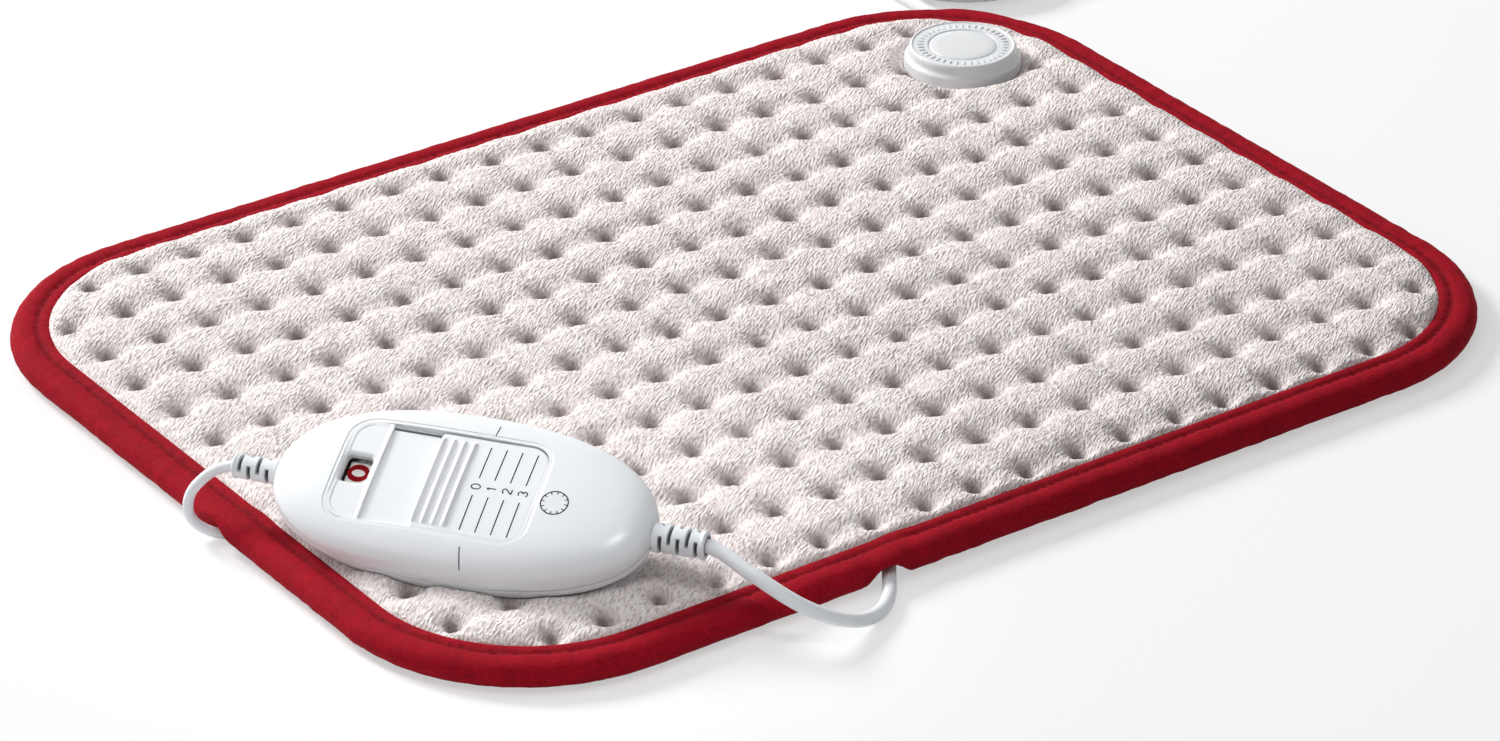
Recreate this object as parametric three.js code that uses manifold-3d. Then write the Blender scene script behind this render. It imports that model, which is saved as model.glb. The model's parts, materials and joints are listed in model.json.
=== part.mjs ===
import * as THREE from 'three';
import { mergeVertices } from 'three/addons/utils/BufferGeometryUtils.js';
import Module from 'manifold-3d';

const wasm = await Module();
wasm.setup();

// A heating pad: a tufted fleece pad with a slide controller lying on it. Millimetres, +Z up.
// +X runs along the pad's long side, and the origin is under its centre, on the table.

// General sizes
const gap = 0.3;
const overrun = 6;
const weld = 1e-3;

// Pad
const padLength = 440;
const padDepth = 330;
const padCornerRadius = 68.7;
const cornerSteps = 6;
const tapeWidth = 13;
const tapeHeight = 9.6;
const tapeWeb = 3.3;
const tapeSlotBottom = 2;
const tapeSlotTop = 8.6;
const tapeTopShare = 0.97;
const tapeShares = [[0.24, 0], [0.06, 0.18], [0, 0.5], [0.06, 0.83], [0.24, 0.99], [0.6, 1]];
const liningThickness = 5.8;
const liningBorder = 24;
const carrierThickness = 0.4;
const carrierInset = 26;
const wireDiameter = 0.6;
const wireRuns = 6;
const wireFirstShare = 4.5;
const wireMargin = 52;
const wireDiscMargin = 42;
const wireHalfRun = padLength / 2 - wireMargin;
const wireShortRun = wireHalfRun - wireDiscMargin;
const wireSides = 5;
const turnSteps = 4;

// Tufts in the fleece, counted along X and Y
const tuftColumns = 20;
const tuftRows = 13;
const tuftMarginX = 27.15;
const tuftMarginY = 22.8;
const tuftPitchX = (padLength - 2 * tuftMarginX) / (tuftColumns - 1);
const tuftPitchY = (padDepth - 2 * tuftMarginY) / (tuftRows - 1);
const fleeceCrown = 14;
const fleeceRidge = 12.4;
const fleecePit = 8.5;
const fleeceEdge = 9.6;
const fleeceLip = 0.6;
const fleeceBorder = 5;

// Round connector at the pad's far corner
const discMarginX = 48.5;
const discMarginY = 59;
const discX = padLength / 2 - discMarginX;
const discY = padDepth / 2 - discMarginY;
const discRadius = 21.35;
const discTop = 17.6;
const discWall = 1.8;
const discFloor = 1.2;
const discCordAngle = THREE.MathUtils.degToRad(200);
const discShares = [[1, 0], [1, 0.42], [0.985, 0.62], [0.945, 0.72], [0.915, 0.94], [0.87, 1]];
const discSides = 28;
const discPostCircle = 14;
const discPostRadius = 2.4;
const discPostBottom = 4.5;
const discBossTop = 4.2;
const discBlockLength = 10;
const discBlockWidth = 8;
const discBlockHeight = 3.6;
const discFuseRadius = 1.5;
const discFuseLength = 9;
const discBootRadius = 2.5;
const discBootReach = 33;
const discBootBore = 12;
const discCordHeight = 2.85;

// Self-tapping screws
const screwShank = 1.1;
const screwHead = 2.1;
const screwHeadHeight = 1.4;
const screwSides = 10;
const screwClear = 0.3;

// Controller: U runs along it to the mains end, V across it and W out of its face
const controllerMarginX = 53.4;
const controllerMarginY = 81.9;
const controllerX = controllerMarginX - padLength / 2;
const controllerY = controllerMarginY - padDepth / 2;
const controllerZ = 26.4;
const controllerYaw = THREE.MathUtils.degToRad(-54);
const controllerRoll = THREE.MathUtils.degToRad(24);
const housingHalfLength = 63;
const housingHalfWidth = 31;
const housingRise = 12;
const housingDrop = 12;
const housingWall = 2;
const outlinePower = 2.27;
const domePower = 3.4;
const backPower = 2.6;
const outlineSides = 32;
const domeShares = [0, 0.4, 0.68, 0.86, 0.96, 0.995];
const cavityShares = [0, 0.6, 0.88, 0.99];
const printShares = [0, 0.6, 0.9];
const printSides = 14;
const printGrow = 1.8;
const pressSides = 10;
const pressPostSides = 6;

// Recess in the controller's face, and the slider that runs in it
const recessMargin = 22.5;
const recessLeft = recessMargin - housingHalfLength;
const recessRight = 25.5;
const recessHalfWidth = 19;
const recessRadius = 7;
const bayMargin = 12.4;
const bayLeft = recessLeft + bayMargin;
const bayFloor = 7.6;
const bayFloorThickness = 1.4;
const sliderCrown = 10.6;
const sliderEdge = 9.4;
const sliderBottom = 7.9;
const stepLength = 5.2;
const stepCount = 3;
const travel = stepLength * stepCount;
const archSteps = 6;
const tunnelSteps = 4;
const postSides = 8;
const ribCount = 4;
const ribPitch = 3.45;
const ribWidth = 1.7;
const ribHeight = 0.9;
const legLength = 6;
const legThickness = 1.4;
const legOffset = 16.9;
const legBottom = 3.1;
const windowLength = 9;
const windowHalfWidth = 5;
const windowRadius = 1.6;
const windowMargin = 5.7;
const windowCentre = recessLeft + windowMargin;
const windowPlateBottom = 8.3;
const pocketWall = 1.7;

// Carriage, rack and number drum inside the controller
const carriageBottom = 3.4;
const carriageThickness = 2.5;
const carriageHalfWidth = 19.2;
const carriageRight = 14;
const drumAxisW = 2.1;
const drumFace = 4.1;
const drumCorner = 5.5;
const drumHalfWidth = 4.7;
const pinionTeeth = 11;
const quarterTurn = Math.PI / 2;
const pinionRadius = stepLength / quarterTurn;
const toothAddendum = 0.5;
const toothDedendum = 0.7;
const toothShare = 0.38;
const toothTipShare = 0.16;
const pinionStart = 5.2;
const pinionEnd = 8.2;
const axleRadius = 1.2;
const axleEnd = 11;
const earThickness = 2;
const earHalfLength = 3;
const earBottom = -0.5;
const rackBottom = -4.2;
const rackWebLength = 3;
const rackSpare = 2.6;

// Electrical parts inside the controller
const boardTop = -4.8;
const boardThickness = 1.6;
const boardMargin = 15;
const boardHalfLength = housingHalfLength - boardMargin;
const boardHalfWidth = 20;
const boardPostRadius = 2;
const boardPostMargin = 22;
const boardPostU = boardHalfLength - boardPostMargin;
const boardPostV = 10;
const bridgeThickness = 0.5;
const bridgeHalfWidth = 4;
const bridgeLength = 10;
const detentThickness = 0.4;
const detentV = 12.5;
const detentHalfWidth = 1.5;
const detentLength = 22;
const fuseMargin = 27;
const fuseU = housingHalfLength - fuseMargin;
const fuseRadius = 2.6;
const fuseLength = 20;
const capacitorSpacing = 6.5;
const capacitorU = fuseU - capacitorSpacing;
const capacitorLength = 4;
const capacitorWidth = 14;
const capacitorHeight = 8;
const blockLength = 4.5;
const blockWidth = 9;
const blockHeight = 6;
const blockMargin = 18.8;
const blockU = housingHalfLength - blockMargin;
const clampMargin = 12.4;
const clampU = housingHalfLength - clampMargin;
const clampLength = 3.4;
const clampHalfWidth = 4.5;
const clampHalfHeight = 4;
const shellScrewLeftMargin = 13;
const shellScrewLeftU = shellScrewLeftMargin - housingHalfLength;
const shellScrewLeftV = 12.6;
const shellScrewRightMargin = 17;
const shellScrewRightU = housingHalfLength - shellScrewRightMargin;
const shellScrewRightV = 14;
const shellBossRadius = 3.6;
const shellPostRadius = 2.8;
const shellHeadSeat = -5.3;
const shellScrewLength = 10;

// Strain reliefs where the cords leave the controller
const flangeMargin = 10.3;
const flangeU = housingHalfLength - flangeMargin;
const flangeLength = 2;
const flangeStep = 0.4;
const neckStep = 0.5;
const padBootRadius = 4.15;
const padBootLength = 15;
const padBootRings = 4;
const mainsBootRadius = 4.75;
const mainsBootLength = 17;
const mainsBootRings = 5;
const bootTaperShare = 0.9;
const bootGrooveDepth = 1.1;
const bootGrooveShare = 0.4;
const bootGrooveLead = 0.2;
const bootSides = 10;

// Cords: their routes start beside the controller, pass under the pad and end beside the connector
const padCordDiameter = 3.5;
const mainsDiameter = 4.7;
const cordSides = 8;
const padCordSteps = 40;
const mainsSteps = 42;
const from = (x, y) => ([dx, dy, z]) => [x + dx, y + dy, z];
const padCordRoute = [
  ...[
    [-30.3, 41.7, 26.4], [-37.0, 51.0, 26.4], [-41.7, 57.4, 26.4], [-45.8, 63.1, 26.4], [-51.1, 66.9, 24.7],
    [-54.9, 68.5, 22.0], [-58.0, 70.3, 17.8], [-59.1, 71.4, 12.6], [-58.6, 71.4, 8.6], [-56.9, 70.1, 5.4],
    [-53.3, 67.2, 2.8], [-44.4, 59.5, 1.95], [-28.4, 48.1, 1.95], [1.6, 40.1, 1.95],
  ].map(from(controllerX, controllerY)),
  [-115.0, -29.0, 1.95], [-50.0, 0.0, 1.95], [20.0, 36.0, 1.95], [85.0, 70.0, 1.95],
  ...[[-49.5, -18.4, 2.2], [-31.0, -11.3, 2.85], [-23.0, -8.37, 2.85]].map(from(discX, discY)),
];
const mainsRoute = [
  ...[
    [30.3, -41.7, 26.4], [37.0, -51.0, 26.4], [42.3, -58.2, 26.4], [47.0, -64.7, 26.4], [49.8, -70.6, 25.1],
    [51.9, -77.2, 22.8], [54.7, -83.6, 20.2], [58.7, -89.9, 16.6], [63.9, -94.8, 12.7], [71.8, -98.4, 8.2],
    [80.3, -99.1, 4.8], [88.7, -96.9, 2.9], [96.2, -92.1, 2.45], [102.2, -85.5, 2.45], [110.6, -73.9, 2.45],
  ].map(from(controllerX, controllerY)),
  [-40.0, -140.0, 2.45], [-10.0, -114.0, 2.45], [45.0, -77.0, 2.45], [100.0, -40.0, 2.45],
  ...[
    [-26.5, -111.0, 2.45], [6.5, -72.0, 2.45], [25.5, -30.0, 2.45], [32.3, 2.0, 2.45], [31.3, 24.0, 2.45],
    [27.5, 42.0, 2.45], [25.1, 54.0, 2.8], [24.4, 65.0, 3.5], [24.4, 77.0, 3.65],
  ].map(from(discX, discY)),
];

// The put-away length: a wound coil, its tie and the plug
const coilTurns = 4;
const coilRadius = 27;
const coilPitch = 5.2;
const coilLayerPitch = 5.3;
const coilLift = 3.65;
const coilLoopSteps = 24;
const coilClimb = 0.25;
const coilSides = 6;
const tieThickness = 0.8;
const tieWidth = 8;
const tieAngle = THREE.MathUtils.degToRad(-60);
const tailLevel = 10;
const tailLength = 26;
const plugZ = 7;
const plugReliefLength = 20;
const plugReliefRadius = 4.4;
const plugBodyLength = 36;
const plugBodyWidth = 35;
const plugNoseWidth = 26;
const plugBodyThickness = 13.6;
const plugCornerRadius = 3;
const plugPinRadius = 2;
const plugPinLength = 19;
const plugPinSpacing = 18.6;
const plugPinSeat = 4;

// Finishes
const paint = (color, roughness, metalness = 0) => new THREE.MeshStandardMaterial({ color, roughness, metalness });
const fleeceFinish = paint(0xeae0de, 0.95);
const tapeFinish = paint(0x9b162a, 0.9);
const liningFinish = paint(0xe2d8d6, 0.9);
const carrierFinish = paint(0xd8d4cc, 0.9);
const housingFinish = paint(0xebeef2, 0.35);
const cordFinish = paint(0xe8ebee, 0.45);
const numberFinish = paint(0xf4f4f2, 0.5);
const boardFinish = paint(0x2f6b45, 0.6);
const darkFinish = paint(0x2b2c30, 0.5);
const steelFinish = paint(0xb8bcc2, 0.3, 1);
const brassFinish = paint(0xc9a24f, 0.35, 1);
const nylonFinish = paint(0xd9dad5, 0.5);

const part = new THREE.Group();
const controller = new THREE.Group();
controller.position.set(controllerX, controllerY, controllerZ);
controller.rotation.set(controllerRoll, 0, controllerYaw, 'ZYX');
controller.updateMatrix();
const disc = new THREE.Group();
disc.position.set(discX, discY, 0);
disc.rotation.z = discCordAngle;
part.add(controller, disc);

// A closed geometry as a solid with its faces pointing out.
function solid(geometry) {
  const bare = geometry.clone();
  bare.deleteAttribute('normal');
  bare.deleteAttribute('uv');
  const merged = mergeVertices(bare, weld);
  const triVerts = new Uint32Array(merged.index.array);
  const build = () => new wasm.Manifold(new wasm.Mesh({
    numProp: 3,
    vertProperties: merged.attributes.position.array,
    triVerts,
  }));
  const made = build();
  if (made.volume() > 0) return made;
  triVerts.reverse();
  return build();
}

const join = (first, ...others) => others.reduce((sum, other) => sum.add(other), first);
const cut = (first, ...others) => others.reduce((rest, other) => rest.subtract(other), first);

// A named piece at its place in its group, from a solid.
function piece(name, made, material, group = part, place = [0, 0, 0]) {
  const { vertProperties, numProp, triVerts } = made.getMesh();
  const geometry = new THREE.BufferGeometry();
  geometry.setAttribute('position', new THREE.BufferAttribute(vertProperties, numProp));
  geometry.setIndex(new THREE.BufferAttribute(triVerts, 1));
  geometry.computeVertexNormals();
  const mesh = new THREE.Mesh(geometry, material);
  mesh.name = name;
  mesh.position.set(...place);
  group.add(mesh);
}

// Triangles between each ring of points and the next.
function bands(count, spans, rings) {
  const index = [];
  for (let k = 0; k < spans; k += 1) {
    const low = k * count;
    const high = ((k + 1) % rings) * count;
    for (let i = 0; i < count; i += 1) {
      const next = (i + 1) % count;
      index.push(low + i, low + next, high + next, low + i, high + next, high + i);
    }
  }
  return index;
}

// A surface through rings of equally many points, closed by flat ends or round on itself.
function skin(rings, looped = false) {
  const count = rings[0].length;
  const index = bands(count, looped ? rings.length : rings.length - 1, rings.length);
  const last = (rings.length - 1) * count;
  for (let i = 1; i < count - 1 && !looped; i += 1) {
    index.push(0, i + 1, i, last, last + i, last + i + 1);
  }
  const geometry = new THREE.BufferGeometry().setFromPoints(rings.flat());
  geometry.setIndex(index);
  return geometry;
}

// A straight prism of an outline between two heights.
function prism(shape, bottom, top, curveSegments = cornerSteps) {
  const geometry = new THREE.ExtrudeGeometry(shape, { depth: top - bottom, bevelEnabled: false, curveSegments });
  return solid(geometry.translate(0, 0, bottom));
}

// A rectangle with round corners, from its edges.
function roundRectangle(left, right, low, high, radius) {
  const shape = new THREE.Shape();
  shape.moveTo(left + radius, low);
  shape.lineTo(right - radius, low);
  shape.absarc(right - radius, low + radius, radius, -quarterTurn, 0);
  shape.absarc(right - radius, high - radius, radius, 0, quarterTurn);
  shape.absarc(left + radius, high - radius, radius, quarterTurn, Math.PI);
  shape.absarc(left + radius, low + radius, radius, Math.PI, Math.PI + quarterTurn);
  return shape;
}

// A block between two corners.
function block(low, high) {
  const size = high.map((value, k) => value - low[k]);
  const middle = high.map((value, k) => (value + low[k]) / 2);
  return solid(new THREE.BoxGeometry(...size).translate(...middle));
}

// An upright cylinder.
function post(x, y, radius, bottom, top, sides = postSides) {
  const geometry = new THREE.CylinderGeometry(radius, radius, top - bottom, sides);
  return solid(geometry.rotateX(quarterTurn).translate(x, y, (top + bottom) / 2));
}

// A revolved profile of [radius, height] points about the Z axis, or laid along X or Y.
function revolve(profile, sides, axis = 'z', place = [0, 0, 0]) {
  const geometry = new THREE.LatheGeometry(profile.map(([r, y]) => new THREE.Vector2(r, y)), sides);
  if (axis === 'z') geometry.rotateX(quarterTurn);
  if (axis === 'x') geometry.rotateZ(-quarterTurn);
  return solid(geometry.translate(...place));
}

// A regular section for a round tube, as [across, up] pairs.
function ringSection(radius, sides) {
  return Array.from({ length: sides }, (_, i) => {
    const angle = ((i + 0.5) / sides) * 2 * Math.PI;
    return [radius * Math.cos(angle), radius * Math.sin(angle)];
  });
}

const outlineOf = (pairs) => new THREE.Shape(pairs.map(([x, y]) => new THREE.Vector2(x, y)));

// A cord's tube along its route.
function tube(curve, diameter, sides, steps) {
  return new THREE.ExtrudeGeometry(outlineOf(ringSection(diameter / 2, sides)), {
    steps, extrudePath: curve, bevelEnabled: false,
  });
}

// Level-sided sections along a line of points: each is [across, up] pairs square to the line.
function sweep(line, section) {
  return line.map((p, i) => {
    const before = line[Math.max(i - 1, 0)];
    const after = line[Math.min(i + 1, line.length - 1)];
    const ahead = after.clone().sub(before).normalize();
    const side = new THREE.Vector3(ahead.y, -ahead.x, 0).normalize();
    const up = side.clone().cross(ahead);
    return section.map(([s, h]) => p.clone().addScaledVector(side, s).addScaledVector(up, h));
  });
}

// A smooth curve through a route's points, stepped by its points and not by its length.
class RouteCurve extends THREE.CatmullRomCurve3 {
  constructor(points) {
    super(points.map((p) => new THREE.Vector3(...p)), false, 'centripetal');
  }

  getPointAt(t, target) {
    return this.getPoint(t, target);
  }

  getTangentAt(t, target) {
    return this.getTangent(t, target);
  }
}

// The pad's outline, drawn in by an inset, as a ring of points at one height.
function padRing(inset, z) {
  const radius = padCornerRadius - inset;
  const x = padLength / 2 - padCornerRadius;
  const y = padDepth / 2 - padCornerRadius;
  const sides = [[1, 1], [-1, 1], [-1, -1], [1, -1]];
  return sides.flatMap(([sx, sy], k) => Array.from({ length: cornerSteps + 1 }, (_, i) => {
    const angle = (k + i / cornerSteps) * quarterTurn;
    return new THREE.Vector3(sx * x + radius * Math.cos(angle), sy * y + radius * Math.sin(angle), z);
  }));
}

const padStack = (levels) => solid(skin(levels.map(([inset, z]) => padRing(inset, z))));

// An arched tunnel over a line of points, open to the table.
function tunnel(line, radius) {
  const section = [[-radius, -overrun], [radius, -overrun]];
  for (let i = 0; i <= tunnelSteps; i += 1) {
    const angle = (i / tunnelSteps) * Math.PI;
    section.push([radius * Math.cos(angle), radius * Math.sin(angle)]);
  }
  return solid(skin(sweep(line, section)));
}

// The controller's oval outline, as a ring of points at one height.
function ovalRing(halfLength, halfWidth, w, sides = outlineSides) {
  return Array.from({ length: sides }, (_, i) => {
    const angle = (i / sides) * 2 * Math.PI;
    const u = Math.sign(Math.cos(angle)) * Math.abs(Math.cos(angle)) ** (2 / outlinePower);
    const v = Math.sign(Math.sin(angle)) * Math.abs(Math.sin(angle)) ** (2 / outlinePower);
    return new THREE.Vector3(halfLength * u, halfWidth * v, w);
  });
}

// Half of the oval form, drawn in by a wall: its rings shrink as (1 - h^p)^(1/p) with height h.
function ovalHalf(wall, height, power, shares, side, sides = outlineSides, matrix = new THREE.Matrix4()) {
  const rings = shares.map((h) => {
    const shrink = (1 - h ** power) ** (1 / power);
    const w = side * h * (height - wall);
    return ovalRing((housingHalfLength - wall) * shrink, (housingHalfWidth - wall) * shrink, w, sides);
  });
  return solid(skin(rings).applyMatrix4(matrix));
}

// Pad: the tape round its edge, the lining, the heater and the tufted fleece
const liningBottom = tapeSlotBottom + gap;
const carrierBottom = liningThickness + gap;
const carrierTop = carrierBottom + carrierThickness;
const wireHeight = carrierTop + gap + wireDiameter / 2;
const fleeceBottom = wireHeight + wireDiameter / 2 + gap;
const lipInset = tapeWeb + gap;
const fleeceInset = tapeWidth + gap;
const padCordCurve = new RouteCurve(padCordRoute);
const mainsCurve = new RouteCurve(mainsRoute);
const underPad = (curve, steps) => curve.getPoints(steps).filter((p) => p.z < liningThickness);
const padCordTunnel = tunnel(underPad(padCordCurve, padCordSteps), padCordDiameter / 2 + gap);
const mainsTunnel = tunnel(underPad(mainsCurve, mainsSteps), mainsDiameter / 2 + gap);
const discPocket = post(discX, discY, discRadius + gap, -overrun, fleeceBottom - gap / 2, discSides);
const bootAxis = new THREE.Vector2(Math.cos(discCordAngle), Math.sin(discCordAngle));
const bootLine = [0, discBootReach + gap].map((r) => (
  new THREE.Vector3(discX + bootAxis.x * r, discY + bootAxis.y * r, discCordHeight)
));
const bootTunnel = tunnel(bootLine, discBootRadius + gap);

const tapeProfile = [
  [tapeWidth, 0],
  ...tapeShares.map(([s, z]) => [s * tapeWidth, z * tapeHeight]),
  [tapeWidth, tapeTopShare * tapeHeight],
  [tapeWidth, tapeSlotTop],
  [tapeWeb, tapeSlotTop],
  [tapeWeb, tapeSlotBottom],
  [tapeWidth, tapeSlotBottom],
];
const tape = solid(skin(tapeProfile.map(([inset, z]) => padRing(inset, z)), true));
piece('edge_binding', cut(tape, padCordTunnel, mainsTunnel), tapeFinish);

const lining = padStack([
  [fleeceInset, 0], [fleeceInset, liningBottom], [lipInset, liningBottom], [lipInset, fleeceBottom - gap],
  [liningBorder, fleeceBottom - gap], [liningBorder, liningThickness],
]);
piece('pad_back_cover', cut(lining, discPocket, bootTunnel, padCordTunnel, mainsTunnel), liningFinish);
piece(
  'heater_carrier',
  cut(padStack([[carrierInset, carrierBottom], [carrierInset, carrierTop]]), discPocket),
  carrierFinish,
);

// The heating wire runs to and fro midway between rows of tufts, shorter beside the connector.
function heatingWire() {
  const points = [];
  const spacing = 2 * tuftPitchY;
  for (let k = 0; k < wireRuns; k += 1) {
    const y = k * spacing - wireFirstShare * tuftPitchY;
    const side = k % 2 ? -1 : 1;
    const right = k < wireRuns - 2 ? wireHalfRun : wireShortRun;
    const reach = side > 0 ? right : wireHalfRun;
    const start = points.length ? [] : [[-wireHalfRun, y]];
    points.push(...start.map(([x, at]) => new THREE.Vector3(x, at, wireHeight)));
    points.push(new THREE.Vector3(side * reach - side * spacing / 2, y, wireHeight));
    if (k === wireRuns - 1) break;
    for (let i = 1; i < turnSteps; i += 1) {
      const angle = -quarterTurn + (i / turnSteps) * Math.PI;
      points.push(new THREE.Vector3(
        side * (reach - spacing / 2 + (spacing / 2) * Math.cos(angle)),
        y + spacing / 2 + (spacing / 2) * Math.sin(angle),
        wireHeight,
      ));
    }
    points.push(new THREE.Vector3(side * reach - side * spacing / 2, y + spacing, wireHeight));
  }
  return solid(skin(sweep(points, ringSection(wireDiameter / 2, wireSides))));
}
piece('heating_wire', heatingWire(), brassFinish);

// How far a place on the pad lies inside the fleece's outline.
function fleeceDepth(x, y) {
  const cornerX = Math.max(Math.abs(x) - (padLength / 2 - padCornerRadius), 0);
  const cornerY = Math.max(Math.abs(y) - (padDepth / 2 - padCornerRadius), 0);
  return padCornerRadius - fleeceInset - Math.hypot(cornerX, cornerY);
}

// The fleece's height: pits at its tufts, ridges between them and crowns, low at its edge and connector.
function fleeceHeight(x, y, tuftInX, tuftInY) {
  const plain = [fleeceCrown, fleeceRidge, fleecePit][Number(tuftInX) + Number(tuftInY)];
  const nearEdge = Math.min(fleeceDepth(x, y) / (tuftPitchX / 2), 1);
  const height = fleeceEdge + (plain - fleeceEdge) * nearEdge;
  return Math.min(height, fleecePit + Math.max(Math.hypot(x - discX, y - discY) - discRadius, 0));
}

// The fleece as a net of heights, joined by a border to the ring at its edge and closed below.
function fleece() {
  const places = (count, pitch) => Array.from({ length: 2 * count - 1 }, (_, i) => ((i - count + 1) / 2) * pitch);
  const xs = places(tuftColumns, tuftPitchX);
  const ys = places(tuftRows, tuftPitchY);
  const points = ys.flatMap((y, j) => xs.map((x, i) => (
    new THREE.Vector3(x, y, fleeceHeight(x, y, i % 2 === 0, j % 2 === 0))
  )));
  const index = [];
  const edges = new Set();
  for (let j = 0; j < ys.length - 1; j += 1) {
    for (let i = 0; i < xs.length - 1; i += 1) {
      const low = j * xs.length + i;
      const high = low + xs.length;
      const corners = [low, low + 1, high + 1, high];
      if (corners.some((k) => fleeceDepth(points[k].x, points[k].y) < fleeceBorder)) continue;
      const [a, b, c, d] = (i + j) % 2 ? corners : [low + 1, high + 1, high, low];
      index.push(a, b, c, a, c, d);
      corners.forEach((k, n) => edges.add(`${k} ${corners[(n + 1) % 4]}`));
    }
  }
  const next = new Map();
  edges.forEach((edge) => {
    const [from, to] = edge.split(' ');
    if (!edges.has(`${to} ${from}`)) next.set(Number(from), Number(to));
  });
  const rim = [next.keys().next().value];
  while (next.get(rim[0]) !== rim.at(-1)) rim.unshift(next.get(rim[0]));
  const levels = [
    [fleeceInset, fleeceEdge], [fleeceInset, fleeceBottom + fleeceLip],
    [lipInset, fleeceBottom + fleeceLip], [lipInset, fleeceBottom],
  ].map(([inset, z]) => padRing(inset, z));
  const count = levels[0].length;
  const start = points.length;
  const flat = (list) => list.map((p) => new THREE.Vector2(p.x, p.y));
  const border = THREE.ShapeUtils.triangulateShape(flat(levels[0]), [flat(rim.map((k) => points[k]))]);
  border.flat().forEach((k) => index.push(k < count ? start + k : rim[k - count]));
  index.push(...bands(count, levels.length - 1, levels.length).reverse().map((k) => start + k));
  const base = start + (levels.length - 1) * count;
  for (let i = 1; i < count - 1; i += 1) index.push(base, base + i + 1, base + i);
  const geometry = new THREE.BufferGeometry().setFromPoints([...points, ...levels.flat()]);
  geometry.setIndex(index);
  return solid(geometry);
}

const discPosts = [0, 1, 2].map((k) => {
  const angle = discCordAngle + Math.PI / 3 + (k / 3) * 2 * Math.PI;
  return [discPostCircle * Math.cos(angle), discPostCircle * Math.sin(angle)];
});
const fleeceTop = fleeceCrown + overrun;
const pressRadius = (discRadius + 2 * gap) / Math.cos(Math.PI / pressSides);
const fleecePress = post(discX, discY, pressRadius, fleecePit, fleeceTop, pressSides);
const fleeceHoles = discPosts.map(([x, y]) => post(
  discX + x, discY + y, discPostRadius + 2 * gap, 0, fleeceTop, pressPostSides,
));
const controllerPrint = ovalHalf(-printGrow, housingDrop, backPower, printShares, -1, printSides, controller.matrix);
piece('pad_top_cover', cut(fleece(), fleecePress, controllerPrint, ...fleeceHoles), fleeceFinish);

// Connector: two shells screwed together through the pad, with the pad's terminals inside
const discUnder = fleecePit + gap;
const discRise = discTop - discUnder;
const discOuter = [
  [0, discUnder], ...discShares.map(([r, z]) => [r * discRadius, discUnder + z * discRise]), [0, discTop],
];
const discInner = discRadius - 2 * discWall;
const discCeiling = discTop - discWall;
const discTurn = (points) => points.map(([x, y]) => {
  const spin = new THREE.Vector2(x, y).rotateAround(new THREE.Vector2(), -discCordAngle);
  return [spin.x, spin.y];
});
const discPlaces = discTurn(discPosts);
const discCup = cut(
  revolve(discOuter, discSides),
  post(0, 0, discInner, discUnder - overrun, discCeiling, discSides),
);
const discShell = join(discCup, ...discPlaces.map(([x, y]) => (
  post(x, y, discPostRadius, discPostBottom, discTop - gap)
)));
const discScrewHoles = discPlaces.map(([x, y]) => (
  post(x, y, screwShank + screwClear, -overrun, discCeiling, screwSides)
));
piece('disc_upper_shell', cut(discShell, ...discScrewHoles), housingFinish, disc);

const discBaseTop = fleeceBottom - gap;
const discBase = cut(
  post(0, 0, discRadius, 0, discBaseTop, discSides),
  post(0, 0, discRadius - discWall, discFloor, discBaseTop + overrun, discSides),
);
const discSeat = screwHeadHeight + gap + screwClear;
const discBosses = discPlaces.map(([x, y]) => post(x, y, discPostRadius + discWall / 2, 0, discBossTop));
const discBores = discPlaces.map(([x, y]) => (
  post(x, y, screwHead + screwClear, -overrun, discSeat, screwSides)
));
const discBootStart = discRadius - 2 * discWall;
const discBootHole = revolve([
  [0, discBootStart - gap], [discBootRadius + gap, discBootStart - gap],
  [discBootRadius + gap, discRadius + overrun], [0, discRadius + overrun],
], bootSides, 'x', [0, 0, discCordHeight]);
piece(
  'disc_lower_shell',
  cut(join(discBase, ...discBosses), ...discBores, ...discScrewHoles, discBootHole),
  housingFinish,
  disc,
);
const discBoot = cut(
  revolve([
    [0, discBootStart], [discBootRadius, discBootStart],
    [discBootRadius, discRadius + discWall], [discBootRadius - neckStep / 2, discBootReach], [0, discBootReach],
  ], bootSides, 'x'),
  revolve([
    [0, discBootReach - discBootBore], [padCordDiameter / 2 + gap, discBootReach - discBootBore],
    [padCordDiameter / 2 + gap, discBootReach + overrun], [0, discBootReach + overrun],
  ], cordSides, 'x'),
);
piece('disc_cord_boot', discBoot, cordFinish, disc, [0, 0, discCordHeight]);
piece('disc_terminal_block', block(
  [-discBlockLength / 2, -discBlockWidth / 2, discFloor + gap],
  [discBlockLength / 2, discBlockWidth / 2, discFloor + gap + discBlockHeight],
), nylonFinish, disc);
const discFuse = revolve([
  [0, -discFuseLength / 2], [discFuseRadius, -discFuseLength / 2],
  [discFuseRadius, discFuseLength / 2], [0, discFuseLength / 2],
], bootSides, 'y');
piece('disc_thermal_fuse', discFuse, steelFinish, disc, [
  -discBlockLength / 2 - gap - discFuseRadius, 0, discFloor + gap + discFuseRadius,
]);

// A screw that points up from its head.
function screw(length) {
  return revolve([
    [0, 0], [screwHead, 0], [screwHead, screwHeadHeight], [screwShank, screwHeadHeight],
    [screwShank, screwHeadHeight + length], [0, screwHeadHeight + length + screwShank],
  ], screwSides);
}
discPlaces.forEach(([x, y], k) => {
  piece(`disc_screw_${k + 1}`, screw(discTop / 2), steelFinish, disc, [x, y, gap]);
});

// Controller housing: an oval domed top shell and a rounder back shell
const splitCut = (side) => block(
  [-2 * housingHalfLength, -2 * housingHalfWidth, side > 0 ? -overrun : -gap / 2],
  [2 * housingHalfLength, 2 * housingHalfWidth, side > 0 ? gap / 2 : overrun],
);

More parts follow.
